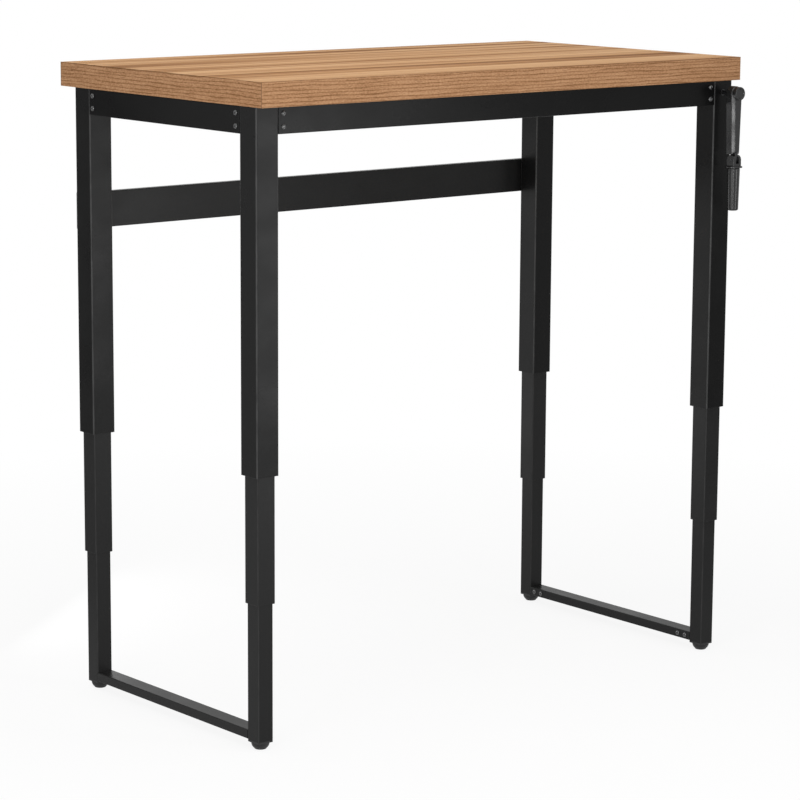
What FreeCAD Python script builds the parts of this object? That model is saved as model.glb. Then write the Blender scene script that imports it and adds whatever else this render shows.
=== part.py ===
# Height-adjustable desk: a thick wood top on a black steel frame with four three-stage square legs.
# A hand crank turns bevel gears in the leg heads, and a lead screw in each leg raises the top.
# Frame: +X along the desk's length, +Y to the rear, +Z up, origin on the floor. Millimetres.
import FreeCAD
import Part
import math
import os
import Sketcher
from types import SimpleNamespace
from FreeCAD import Placement, Rotation, Vector

# Driving dimensions. The desk is modelled raised to its full height.
SIZES = {
    # Tabletop
    "top_length": 1200,
    "top_depth": 645,
    "top_thick": 46,
    "laminate_thick": 1,
    "edging_thick": 1.5,
    "raised_height": 1231,
    # Where the legs stand under the top
    "end_inset": 2.5,
    "front_inset": 20,
    "rear_inset": 45,
    # Travel of the top, and the steps between the tubes when it is lowered
    "lift_travel": 450,
    "low_gap": 16,
    "tube_step": 14,
    "head_room": 45,
    # Square tubes and the plastic guides between them
    "outer_size": 50,
    "outer_wall": 2,
    "outer_corner": 3,
    "outer_guide": 3,
    "middle_wall": 1.5,
    "middle_corner": 2.5,
    "middle_guide": 1.5,
    "inner_wall": 2,
    "inner_corner": 2.5,
    "guide_height": 40,
    # Clearances of fixed and of moving fits
    "fit_gap": 0.1,
    "run_gap": 0.3,
    # Levelling feet and the plugs that hold them
    "foot_height": 13,
    "foot_top_radius": 17,
    "foot_tip_radius": 11.5,
    "stud_radius": 4,
    "stud_length": 24,
    "foot_band": 4,
    "foot_edge": 1.3,
    "plug_flange": 3,
    "plug_length": 26,
    # Foot rails
    "rail_rise": 1,
    "rail_height": 18,
    "rail_wall": 1.5,
    "spigot_length": 50,
    "rail_bolt_first": 13,
    "rail_bolt_pitch": 21,
    "rail_bolt_length": 12,
    # Aprons under the top
    "apron_height": 50,
    "apron_wall": 2,
    "apron_flange": 15,
    "apron_bend": 1.6,
    "bracket_leaf": 16,
    "bracket_wall": 3,
    "apron_bolt_inset": 11,
    "apron_bolt_pitch": 24,
    # Rear crossbar
    "bar_drop": 205,
    "bar_height": 70,
    "bar_depth": 15,
    "bar_wall": 1.5,
    "bar_end_inset": 13,
    "bar_bolt_pitch": 36,
    "bar_pad_thick": 4,
    "bar_pad_width": 30,
    "bar_cap_flange": 1.5,
    "bar_cap_depth": 6,
    # Button-head bolts and wood screws
    "bolt_radius": 2.5,
    "bolt_head_radius": 5,
    "bolt_head_height": 2.4,
    "bolt_head_rim": 0.7,
    "bolt_end_clear": 1,
    "screw_length": 28,
    "screw_inset": 9,
    "screw_end_space": 120,
    # Gear train in the leg heads
    "axis_drop": 25,
    "housing_wall": 3,
    "housing_floor": 4,
    "gear_gap": 1.7,
    "gear_back": 4,
    "shaft_radius": 5,
    "journal_radius": 6,
    "thrust_radius": 11,
    "thrust_height": 5,
    "lead_radius": 7,
    "lead_chamfer": 2,
    "screw_clear": 9,
    "nut_flange": 8,
    "nut_plug": 34,
    # Hand crank
    "crank_hex": 8,
    "crank_pull": 20,
    "crank_shaft_clear": 4.5,
    "crank_socket": 14,
    "edge_gap": 1.5,
    "hub_radius": 14.5,
    "arm_thick": 22,
    "arm_end_width": 22,
    "arm_length": 133,
    "arm_edge": 3.5,
    "shoulder_gap": 1,
    "boss_radius": 13.5,
    "boss_height": 5.5,
    "boss_edge": 2,
    "tongue_width": 8,
    "tongue_thick": 13,
    "ear_width": 22,
    "ear_radius": 10,
    "link_drop": 13,
    "link_edge": 1.2,
    "ring_radius": 17,
    "ring_depth": 27,
    "ring_thick": 3,
    "pin_radius": 2.5,
    "spindle_radius": 5,
    "spindle_length": 66,
    "grip_top_radius": 12.7,
    "grip_tip_radius": 11,
    "grip_length": 86,
    "grip_edge": 1.5,
    "grip_nose": 3.5,
}
# Teeth in a quarter turn of a lead screw's gear, and that gear's teeth for each tooth of a pinion.
QUARTER_TEETH = 6
GEAR_RATIO = 2
# Shares of the tooth pitch and module that shape a tooth with a 25 degree flank and free backlash.
TOOTH_SHARE = 0.21
ADDENDUM_SHARE = 0.8
DEDENDUM_SHARE = 1.2
FLANK_SLOPE = 0.4663
FACE_SHARE = 0.68
# Shares of the module: where a pinion's flank starts, how much it widens, and how deep a tooth is set in.
PINION_FLANK = 0.56
PINION_WIDEN = 0.1
TOOTH_SEAT = 0.3
# Share of a tube's wall between its outside and inside corner radii.
CORNER_SHARE = 0.9
# Share of a button head's radius that is flat.
CROWN_SHARE = 0.6

doc = FreeCAD.newDocument("desk")
sheet = doc.addObject("Spreadsheet::Sheet", "sizes")
for row, (alias, value) in enumerate(SIZES.items(), start=1):
    sheet.set(f"A{row}", alias)
    sheet.set(f"B{row}", str(value))
    sheet.setAlias(f"B{row}", alias)
doc.recompute()


class Size:
    """A length in millimetres, with the spreadsheet formula that gives it."""

    def __init__(self, value, formula):
        self.value = value
        self.formula = formula

    def __add__(self, other):
        other = as_size(other)
        return Size(self.value + other.value, f"({self.formula} + {other.formula})")

    def __sub__(self, other):
        other = as_size(other)
        return Size(self.value - other.value, f"({self.formula} - {other.formula})")

    def __mul__(self, factor):
        return Size(self.value * factor, f"({self.formula} * {factor})")

    def __truediv__(self, factor):
        return Size(self.value / factor, f"({self.formula} / {factor})")

    def __neg__(self):
        return Size(-self.value, f"(0 - {self.formula})")


def as_size(value):
    return value if isinstance(value, Size) else Size(float(value), str(float(value)))


S = SimpleNamespace(**{alias: Size(sheet.get(alias), f"sizes.{alias}") for alias in SIZES})
ZERO = as_size(0)

X_AXIS = Vector(1, 0, 0)
Y_AXIS = Vector(0, 1, 0)
Z_AXIS = Vector(0, 0, 1)
UPRIGHT = Rotation()
nodes = {}


def bind(item, prop, length):
    item.setExpression(prop, length.formula)


def place(item, x, y, z, turn=UPRIGHT):
    """Put an object at a bound position, turned by a fixed rotation."""
    spot = [as_size(v) for v in (x, y, z)]
    item.Placement = Placement(Vector(*(v.value for v in spot)), turn)
    for axis, length in zip("xyz", spot):
        bind(item, f"Placement.Base.{axis}", length)
    return item


def keep(label, item):
    """Name an object as one of the desk's sub-parts."""
    item.Label = label
    nodes[label] = item
    return item


def new_body(name):
    return doc.addObject("PartDesign::Body", f"{name}_body")


def add_sketch(body, name, role, offset=ZERO):
    """Start a sketch on one of the body's origin planes, moved along that plane's normal."""
    sketch = body.newObject("Sketcher::SketchObject", name)
    plane = next(part for part in body.Origin.OriginFeatures if part.Role == role)
    sketch.AttachmentSupport = [(plane, "")]
    sketch.MapMode = "FlatFace"
    bind(sketch, "AttachmentOffset.Base.z", offset)
    return sketch


def fix_point(sketch, item, point, x, y):
    """Hold a sketch point at bound distances from the sketch's origin."""
    for kind, axis, length in (("DistanceX", -2, x), ("DistanceY", -1, y)):
        if length is ZERO:
            sketch.addConstraint(Sketcher.Constraint("PointOnObject", item, point, axis))
        else:
            number = sketch.addConstraint(Sketcher.Constraint(kind, -1, 1, item, point, length.value))
            bind(sketch, f"Constraints[{number}]", length)


def draw_polygon(sketch, points):
    """Draw a closed outline of straight lines through bound points."""
    first = sketch.GeometryCount
    count = len(points)
    corners = [Vector(x.value, y.value, 0) for x, y in points]
    for number in range(count):
        sketch.addGeometry(Part.LineSegment(corners[number], corners[(number + 1) % count]))
    for number in range(count):
        after = first + (number + 1) % count
        sketch.addConstraint(Sketcher.Constraint("Coincident", first + number, 2, after, 1))
    for number, (x, y) in enumerate(points):
        fix_point(sketch, first + number, 1, x, y)


def draw_rectangle(sketch, x0, x1, y0, y1):
    draw_polygon(sketch, [(x0, y0), (x1, y0), (x1, y1), (x0, y1)])


def draw_square(sketch, width):
    half = width / 2
    draw_rectangle(sketch, -half, half, -half, half)


def draw_circle(sketch, x, y, radius):
    centre = Vector(x.value, y.value, 0)
    item = sketch.addGeometry(Part.Circle(centre, Z_AXIS, radius.value))
    fix_point(sketch, item, 3, x, y)
    number = sketch.addConstraint(Sketcher.Constraint("Radius", item, radius.value))
    bind(sketch, f"Constraints[{number}]", radius)


def pad(body, sketch, length):
    feature = body.newObject("PartDesign::Pad", f"{sketch.Name}_pad")
    feature.Profile = sketch
    bind(feature, "Length", length)
    return feature


def pocket(body, sketch, depth, along_normal=False):
    """Cut a sketch into the body, and make sure that it removes something."""
    doc.recompute()
    before = body.Shape.Volume
    feature = body.newObject("PartDesign::Pocket", f"{sketch.Name}_pocket")
    feature.Profile = sketch
    feature.Reversed = along_normal
    bind(feature, "Length", depth)
    doc.recompute()
    if feature.Shape.Volume > before - 1e-3:
        raise ValueError(f"{feature.Name} cuts nothing")
    return feature


def revolve(body, sketch):
    """Turn a half outline in the XZ plane about the body's Z axis."""
    feature = body.newObject("PartDesign::Revolution", f"{sketch.Name}_turned")
    feature.Profile = sketch
    feature.ReferenceAxis = (sketch, ["V_Axis"])
    feature.Angle = 360
    return feature


def turned_body(name, outline):
    """A round piece from its half outline, listed as radius and height."""
    body = new_body(name)
    sketch = add_sketch(body, f"{name}_outline", "XZ_Plane")
    draw_polygon(sketch, outline)
    revolve(body, sketch)
    return body


def round_edges(body, base, radius, wanted):
    """Round the edges of a feature that a test picks out."""
    doc.recompute()
    names = [f"Edge{number}" for number, edge in enumerate(base.Shape.Edges, start=1) if wanted(edge)]
    feature = body.newObject("PartDesign::Fillet", f"{base.Name}_rounded")
    feature.Base = (base, names)
    bind(feature, "Radius", radius)
    return feature


def runs_along(edge, axis):
    return isinstance(edge.Curve, Part.Line) and abs(edge.Curve.Direction.dot(axis)) > 0.999


def group(label, copies):
    """One sub-part of several like pieces: copies are (master, x, y, z, turn)."""
    links = []
    for number, (master, x, y, z, turn) in enumerate(copies, start=1):
        link = doc.addObject("App::Link", f"{label}_{number}")
        link.LinkedObject = master
        links.append(place(link, x, y, z, turn))
    compound = doc.addObject("Part::Compound", f"{label}_group")
    compound.Links = links
    return keep(label, compound)


def square_tube(name, width, wall, corner, length):
    """A square tube standing on its body's XY plane, with rounded corners inside and out."""
    body = new_body(name)
    sketch = add_sketch(body, f"{name}_section", "XY_Plane")
    draw_square(sketch, width)
    draw_square(sketch, width - wall * 2)
    stage = pad(body, sketch, length)
    edge_of_outside = width.value / 2 - wall.value / 2

    def outside(edge):
        return runs_along(edge, Z_AXIS) and abs(edge.CenterOfMass.x) > edge_of_outside

    def inside(edge):
        # Fillets that are already there run along Z too, but lie outside the bore's corners.
        bore = width.value / 2 - wall.value
        x, y = abs(edge.CenterOfMass.x), abs(edge.CenterOfMass.y)
        return runs_along(edge, Z_AXIS) and abs(x - bore) < 1e-6 and abs(y - bore) < 1e-6

    stage = round_edges(body, stage, corner, outside)
    round_edges(body, stage, corner - wall * CORNER_SHARE, inside)
    return body


def add_block(body, name, bottom, width, corner, height):
    """Add a square block with rounded upright edges to a body, from a level up."""
    sketch = add_sketch(body, name, "XY_Plane", bottom)
    draw_square(sketch, width)
    stage = pad(body, sketch, height)
    middle = (bottom + height / 2).value

    def upright(edge):
        return runs_along(edge, Z_AXIS) and abs(edge.CenterOfMass.z - middle) < 1e-6

    return round_edges(body, stage, corner, upright)


def square_ring(name, outside, corner, inside, height):
    """A square collar or bush standing on its body's XY plane."""
    body = new_body(name)
    add_block(body, f"{name}_block", ZERO, outside, corner, height)
    hole = add_sketch(body, f"{name}_hole", "XY_Plane", height)
    draw_square(hole, inside)
    pocket(body, hole, height)
    return body


# Places that several pieces share
crank_reach = S.edge_gap + S.arm_thick + S.boss_height
top_centre_y = crank_reach / 2
under_top = S.raised_height - S.top_thick
drive_z = under_top - S.axis_drop
leg_x = S.top_length / 2 - S.end_inset - S.outer_size / 2
front_y = top_centre_y - S.top_depth / 2 + S.front_inset + S.outer_size / 2
rear_y = top_centre_y + S.top_depth / 2 - S.rear_inset - S.outer_size / 2
LEGS = {
    "front_left": (-leg_x, front_y),
    "front_right": (leg_x, front_y),
    "rear_left": (-leg_x, rear_y),
    "rear_right": (leg_x, rear_y),
}
outer_bore = S.outer_size - S.outer_wall * 2
middle_size = outer_bore - S.outer_guide * 2
middle_bore = middle_size - S.middle_wall * 2
inner_size = middle_bore - S.middle_guide * 2
inner_bore = inner_size - S.inner_wall * 2

# Heights of the tube ends, from the floor up
inner_bottom = S.foot_height + S.plug_flange
rail_bottom = inner_bottom + S.rail_rise
outer_bottom = rail_bottom + S.rail_height + S.low_gap + S.tube_step + S.lift_travel
middle_bottom = outer_bottom - S.tube_step - S.lift_travel / 2

# Bevel gears: the pitch cones of a lead screw's gear and its pinions meet on the leg's axis
housing_size = outer_bore - S.run_gap * 2
gear_radius = housing_size / 2 - S.housing_wall - S.gear_gap
pinion_radius = gear_radius / GEAR_RATIO
gear_teeth = QUARTER_TEETH * 4
pinion_teeth = gear_teeth // GEAR_RATIO
module = gear_radius * 2 / gear_teeth
addendum = module * ADDENDUM_SHARE
dedendum = module * DEDENDUM_SHARE
tooth_half = module * (math.pi * TOOTH_SHARE)
gear_back_z = drive_z - pinion_radius - dedendum - S.gear_back
housing_top = under_top - S.run_gap
housing_bottom = gear_back_z - S.run_gap - S.housing_floor
thrust_top = housing_bottom - S.run_gap
thrust_bottom = thrust_top - S.thrust_height
inner_top = thrust_bottom - S.lift_travel - S.head_room - S.nut_flange
middle_top = housing_bottom - S.lift_travel / 2 - S.head_room
lead_bottom = inner_bottom + S.plug_length + S.screw_clear + S.lift_travel


def tooth_outline(tip, shoulder, root, shoulder_half, scale):
    """A tooth's section at its outer end, or scaled towards the cones' apex."""
    tip_half = tooth_half - addendum * FLANK_SLOPE
    right = [(tip_half, tip), (shoulder_half, shoulder), (shoulder_half, root)]
    left = [(-half, level) for half, level in reversed(right)]
    return [(half * scale, level * scale) for half, level in right + left]


def cut_teeth(body, name, role, planes, outlines, count):
    """Loft one tooth between two sections and repeat it round the body's Z axis."""
    sections = []
    for number, (plane, outline) in enumerate(zip(planes, outlines)):
        section = add_sketch(body, f"{name}_section{number}", role, plane)
        draw_polygon(section, outline)
        sections.append(section)
    tooth = body.newObject("PartDesign::AdditiveLoft", f"{name}_tooth")
    tooth.Profile = sections[0]
    tooth.Sections = [sections[1]]
    tooth.Ruled = True
    doc.recompute()
    pattern = body.newObject("PartDesign::PolarPattern", f"{name}_teeth")
    pattern.Originals = [tooth]
    axis = next(part for part in body.Origin.OriginFeatures if part.Role == "Z_Axis")
    pattern.Axis = (axis, [""])
    pattern.Angle = 360
    pattern.Occurrences = count
    body.Tip = pattern
    doc.recompute()
    return pattern


def pinion_teeth_on(body, name, apex, side):
    """Pinion teeth round the Z axis; side is +1 where the pinion lies above the cones' apex."""
    flank_root = pinion_radius - module * PINION_FLANK
    sections = []
    for scale in (1, FACE_SHARE):
        sections.append(
            tooth_outline(
                pinion_radius + addendum,
                flank_root,
                pinion_radius - dedendum - module * TOOTH_SEAT,
                tooth_half + module * PINION_WIDEN,
                scale,
            )
        )
    planes = [apex + gear_radius * side, apex + gear_radius * (side * FACE_SHARE)]
    return cut_teeth(body, name, "XY_Plane", planes, sections, pinion_teeth)


def pinion_outline(apex, side, hub):
    """Half outline of a pinion's blank from its small end to the back of its hub."""
    root = pinion_radius - dedendum
    return [
        (ZERO, apex + gear_radius * (side * FACE_SHARE)),
        (root * FACE_SHARE, apex + gear_radius * (side * FACE_SHARE)),
        (root, apex + gear_radius * side),
        (root, apex + hub * side),
    ]


# Tabletop: a board with a laminate sheet on it and four edging strips
def make_tabletop():
    core_length = S.top_length - S.edging_thick * 2
    core_depth = S.top_depth - S.edging_thick * 2
    core_height = S.top_thick - S.laminate_thick
    board = new_body("tabletop_board")
    outline = add_sketch(board, "board_outline", "XY_Plane")
    draw_rectangle(outline, -core_length / 2, core_length / 2, -core_depth / 2, core_depth / 2)
    pad(board, outline, core_height)
    holes = add_sketch(board, "screw_holes", "XY_Plane")
    for x, y in SCREW_SPOTS:
        draw_circle(holes, x, y - top_centre_y, S.bolt_radius + S.fit_gap)
    pocket(board, holes, S.screw_length - S.apron_wall + S.fit_gap, along_normal=True)
    keep("tabletop_board", place(board, 0, top_centre_y, under_top))

    sheet_body = new_body("tabletop_laminate")
    outline = add_sketch(sheet_body, "laminate_outline", "XY_Plane")
    draw_rectangle(outline, -S.top_length / 2, S.top_length / 2, -S.top_depth / 2, S.top_depth / 2)
    pad(sheet_body, outline, S.laminate_thick)
    keep("tabletop_laminate", place(sheet_body, 0, top_centre_y, under_top + core_height))

    strips = []
    long_edge = (core_length + S.edging_thick * 2, S.edging_thick)
    short_edge = (S.edging_thick, core_depth)
    spots = (
        ("front", long_edge, -S.top_length / 2, -S.top_depth / 2),
        ("rear", long_edge, -S.top_length / 2, core_depth / 2),
        ("left", short_edge, -S.top_length / 2, -core_depth / 2),
        ("right", short_edge, core_length / 2, -core_depth / 2),
    )
    for side, (length, width), x, y in spots:
        strip = doc.addObject("Part::Box", f"edging_{side}")
        bind(strip, "Length", length)
        bind(strip, "Width", width)
        bind(strip, "Height", core_height)
        strips.append(place(strip, x, y + top_centre_y, under_top))
    edging = doc.addObject("Part::Compound", "edging_group")
    edging.Links = strips
    keep("tabletop_edging", edging)


# Aprons: folded channels between the leg heads, bolted to brackets on the legs
long_apron = leg_x * 2 - S.outer_size
short_apron = rear_y - front_y - S.outer_size
half_leg = S.outer_size / 2
APRONS = {
    "front_apron": (long_apron, -long_apron / 2, front_y - half_leg, 0),
    "rear_apron": (long_apron, long_apron / 2, rear_y + half_leg, 180),
    "left_apron": (short_apron, -leg_x - half_leg, rear_y - half_leg, -90),
    "right_apron": (short_apron, leg_x + half_leg, front_y + half_leg, 90),
}


def apron_spot(name, along, inward):
    """A place on an apron, from the distance along its length and inwards from its outer face."""
    x, y, angle = APRONS[name][1:]
    cosine, sine = {0: (1, 0), 180: (-1, 0), 90: (0, 1), -90: (0, -1)}[angle]
    return x + along * cosine - inward * sine, y + along * sine + inward * cosine


SCREW_SPOTS = []
for apron_name, (apron_length, _, _, _) in APRONS.items():
    for along in (S.screw_end_space, apron_length / 2, apron_length - S.screw_end_space):
        SCREW_SPOTS.append(apron_spot(apron_name, along, S.screw_inset))


def make_aprons():
    bolt_levels = [S.apron_height / 2 + S.apron_bolt_pitch / 2, S.apron_height / 2 - S.apron_bolt_pitch / 2]
    bottom = under_top - S.apron_height
    wall, flange, height = S.apron_wall, S.apron_flange, S.apron_height
    for name, (length, x, y, angle) in APRONS.items():
        body = new_body(name)
        section = add_sketch(body, f"{name}_section", "YZ_Plane")
        channel = [
            (ZERO, ZERO),
            (flange, ZERO),
            (flange, wall),
            (wall, wall),
            (wall, height - wall),
            (flange, height - wall),
            (flange, height),
            (ZERO, height),
        ]
        draw_polygon(section, channel)
        stage = pad(body, section, length)

        def outer_bend(edge):
            return runs_along(edge, X_AXIS) and abs(edge.CenterOfMass.y) < 1e-6

        round_edges(body, stage, S.apron_bend, outer_bend)
        bolt_holes = add_sketch(body, f"{name}_bolt_holes", "XZ_Plane")
        for along in (S.apron_bolt_inset, length - S.apron_bolt_inset):
            for level in bolt_levels:
                draw_circle(bolt_holes, along, level, S.bolt_radius + S.fit_gap)
        pocket(body, bolt_holes, wall)
        screw_holes = add_sketch(body, f"{name}_screw_holes", "XY_Plane", height)
        for along in (S.screw_end_space, length / 2, length - S.screw_end_space):
            draw_circle(screw_holes, along, S.screw_inset, S.bolt_radius + S.fit_gap)
        pocket(body, screw_holes, wall)
        keep(name, place(body, x, y, bottom, Rotation(Z_AXIS, angle)))

    bracket = new_body("apron_bracket")
    leaf, thick = S.bracket_leaf, S.bracket_wall
    bracket_height = height - wall * 4
    section = add_sketch(bracket, "bracket_section", "XY_Plane", -bracket_height / 2)
    angle_iron = [(ZERO, ZERO), (leaf, ZERO), (leaf, thick), (thick, thick), (thick, leaf), (ZERO, leaf)]
    draw_polygon(section, angle_iron)
    pad(bracket, section, bracket_height)
    holes = add_sketch(bracket, "bracket_holes", "XZ_Plane")
    for level in bolt_levels:
        draw_circle(holes, S.apron_bolt_inset, level - S.apron_height / 2, S.bolt_radius + S.fit_gap)
    pocket(bracket, holes, thick)

    bolt = fastener("apron_bolt", wall + thick + S.bolt_end_clear)
    brackets = []
    bolts = []
    for name, (length, _, _, angle) in APRONS.items():
        turn = Rotation(Z_AXIS, angle)
        over = Rotation(Y_AXIS, 180)
        inwards = turn.multiply(Rotation(Z_AXIS, Y_AXIS))
        ends = ((ZERO, S.apron_bolt_inset, turn), (length, length - S.apron_bolt_inset, turn.multiply(over)))
        for end, bolt_along, bracket_turn in ends:
            x, y = apron_spot(name, end, wall)
            brackets.append((bracket, x, y, bottom + height / 2, bracket_turn))
            x, y = apron_spot(name, bolt_along, ZERO)
            for level in bolt_levels:
                bolts.append((bolt, x, y, bottom + level, inwards))
    group("apron_brackets", brackets)
    group("apron_bolts", bolts)

    wood_screw = fastener("wood_screw", S.screw_length - S.fit_gap)
    group("top_screws", [(wood_screw, x, y, under_top - wall, UPRIGHT) for x, y in SCREW_SPOTS])


def fastener(name, shank):
    """A button-head fastener whose head bears on its body's XY plane, shank up."""
    head, height = S.bolt_head_radius, S.bolt_head_height
    outline = [
        (ZERO, -height),
        (head * CROWN_SHARE, -height),
        (head, -S.bolt_head_rim),
        (head, ZERO),
        (S.bolt_radius, ZERO),
        (S.bolt_radius, shank),
        (ZERO, shank),
    ]
    return turned_body(name, outline)


# Rear crossbar: a flat tube on welded pads behind the rear legs
def make_crossbar():
    front = rear_y + half_leg + S.bar_pad_thick
    level = under_top - S.bar_drop - S.bar_height / 2
    end = leg_x + half_leg - S.bar_end_inset - S.bar_cap_flange
    half_height = S.bar_height / 2
    wall = S.bar_wall
    bar = new_body("crossbar")
    section = add_sketch(bar, "bar_section", "YZ_Plane", -end)
    draw_rectangle(section, ZERO, S.bar_depth, -half_height, half_height)
    draw_rectangle(section, wall, S.bar_depth - wall, wall - half_height, half_height - wall)
    stage = pad(bar, section, end * 2)

    def outer_edge(edge):
        return runs_along(edge, X_AXIS) and abs(abs(edge.CenterOfMass.z) - half_height.value) < 1e-6

    round_edges(bar, stage, wall, outer_edge)
    bolt_levels = (S.bar_bolt_pitch / 2, -S.bar_bolt_pitch / 2)
    holes = add_sketch(bar, "bar_holes", "XZ_Plane")
    for x in (leg_x, -leg_x):
        for z in bolt_levels:
            draw_circle(holes, x, z, S.bolt_radius + S.fit_gap)
    pocket(bar, holes, S.bar_depth)
    keep("crossbar", place(bar, 0, front, level))

    half_pad = S.bar_pad_width / 2
    tapped = new_body("crossbar_pad")
    outline = add_sketch(tapped, "pad_outline", "XZ_Plane")
    draw_rectangle(outline, -half_pad, half_pad, wall - half_height, half_height - wall)
    for z in bolt_levels:
        draw_circle(outline, ZERO, z, S.bolt_radius + S.fit_gap)
    pad(tapped, outline, S.bar_pad_thick)
    group("crossbar_pads", [(tapped, x, front, level, UPRIGHT) for x in (-leg_x, leg_x)])

    cap = new_body("crossbar_cap")
    flange = add_sketch(cap, "cap_flange", "YZ_Plane")
    draw_rectangle(flange, ZERO, S.bar_depth, -half_height, half_height)
    pad(cap, flange, S.bar_cap_flange)
    inset = wall + S.fit_gap
    plug = add_sketch(cap, "cap_plug", "YZ_Plane", -S.bar_cap_depth)
    draw_rectangle(plug, inset, S.bar_depth - inset, inset - half_height, half_height - inset)
    pad(cap, plug, S.bar_cap_depth)
    half_turn = Rotation(Z_AXIS, 180)
    caps = [(cap, end, front, level, UPRIGHT), (cap, -end, front + S.bar_depth, level, half_turn)]
    group("crossbar_caps", caps)

    bolt = fastener("bar_bolt", S.bar_depth + S.bar_pad_thick - S.fit_gap)
    forwards = Rotation(Z_AXIS, -Y_AXIS)
    spots = [(x, level + z) for x in (-leg_x, leg_x) for z in bolt_levels]
    group("crossbar_bolts", [(bolt, x, front + S.bar_depth, z, forwards) for x, z in spots])


# Telescoping legs: three square tubes each, with plastic guides between them
SHAFT_SIDES = {
    "front_left": ("rear",),
    "front_right": ("front", "rear"),
    "rear_left": ("front", "right"),
    "rear_right": ("front", "left"),
}
SIDE_DIRECTIONS = {"front": -Y_AXIS, "rear": Y_AXIS, "left": -X_AXIS, "right": X_AXIS}
sleeve_radius = S.shaft_radius + S.run_gap * 4


def make_outer_tube(leg, x, y):
    """The upper tube of a leg, drilled for the shafts that enter its head."""
    length = under_top - outer_bottom
    body = square_tube(f"outer_{leg}", S.outer_size, S.outer_wall, S.outer_corner, length)
    holes = []
    for side in SHAFT_SIDES[leg]:
        drill = doc.addObject("Part::Cylinder", f"hole_{leg}_{side}")
        bind(drill, "Radius", sleeve_radius + S.run_gap)
        bind(drill, "Height", S.outer_size)
        holes.append(place(drill, 0, 0, drive_z - outer_bottom, Rotation(Z_AXIS, SIDE_DIRECTIONS[side])))
    tools = doc.addObject("Part::Compound", f"holes_{leg}")
    tools.Links = holes
    tube = doc.addObject("Part::Cut", f"outer_tube_{leg}")
    tube.Base = body
    tube.Tool = tools
    keep(f"outer_tube_{leg}", place(tube, x, y, outer_bottom))


def make_legs():
    middle_length = middle_top - middle_bottom
    inner_length = inner_top - inner_bottom
    head_guide_bottom = middle_top - S.guide_height
    height = S.guide_height
    width = outer_bore - S.fit_gap * 2
    outer_bush = square_ring("leg_guide", width, S.outer_corner, middle_size + S.run_gap * 2, height)
    width = outer_bore - S.run_gap * 2
    head_collar = square_ring("head_collar", width, S.outer_corner, middle_size + S.fit_gap * 2, height)
    width = middle_bore - S.fit_gap * 2
    middle_bush = square_ring("middle_bush", width, S.middle_corner, inner_size + S.run_gap * 2, height)
    for leg, (x, y) in LEGS.items():
        make_outer_tube(leg, x, y)
        middle = square_tube(f"middle_{leg}", middle_size, S.middle_wall, S.middle_corner, middle_length)
        keep(f"middle_tube_{leg}", place(middle, x, y, middle_bottom))
        guides = [
            (head_collar, x, y, head_guide_bottom, UPRIGHT),
            (middle_bush, x, y, middle_bottom, UPRIGHT),
        ]
        group(f"middle_guides_{leg}", guides)
        inner = square_tube(f"inner_{leg}", inner_size, S.inner_wall, S.inner_corner, inner_length)
        keep(f"inner_tube_{leg}", place(inner, x, y, inner_bottom))
    group("leg_guides", [(outer_bush, x, y, outer_bottom, UPRIGHT) for x, y in LEGS.values()])


# Lower frames: a rail between two inner tubes, with lift nuts above and levelling feet below
def make_lift_nut():
    """A nut block that seats on an inner tube's end and guides it in the middle tube."""
    body = new_body("lift_nut")
    add_block(body, "nut_plug", -S.nut_plug, inner_bore - S.fit_gap * 2, S.inner_corner, S.nut_plug)
    add_block(body, "nut_flange", ZERO, middle_bore - S.run_gap * 2, S.middle_corner, S.nut_flange)
    bore = add_sketch(body, "nut_bore", "XY_Plane", S.nut_flange)
    draw_circle(bore, ZERO, ZERO, S.lead_radius + S.run_gap)
    pocket(body, bore, S.nut_flange + S.nut_plug)
    return body


def make_end_plug():
    """A plug that closes an inner tube's lower end and holds a levelling stud."""
    body = new_body("end_plug")
    add_block(body, "plug_flange", -S.plug_flange, inner_size, S.inner_corner, S.plug_flange)
    add_block(body, "plug_square", ZERO, inner_bore - S.fit_gap * 2, S.inner_corner, S.plug_length)
    bore = add_sketch(body, "plug_bore", "XY_Plane", S.plug_length)
    draw_circle(bore, ZERO, ZERO, S.stud_radius + S.run_gap)
    pocket(body, bore, S.plug_length + S.plug_flange)
    return body


def make_foot(leg, x, y):
    """A levelling foot: a tapered pad on a stud."""
    outline = [
        (ZERO, ZERO),
        (S.foot_tip_radius - S.foot_edge, ZERO),
        (S.foot_tip_radius, S.foot_edge),
        (S.foot_top_radius, S.foot_height - S.foot_band),
        (S.foot_top_radius, S.foot_height),
        (S.stud_radius, S.foot_height),
        (S.stud_radius, S.foot_height + S.stud_length),
        (ZERO, S.foot_height + S.stud_length),
    ]
    keep(f"levelling_foot_{leg}", place(turned_body(f"foot_{leg}", outline), x, y, 0))


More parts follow.
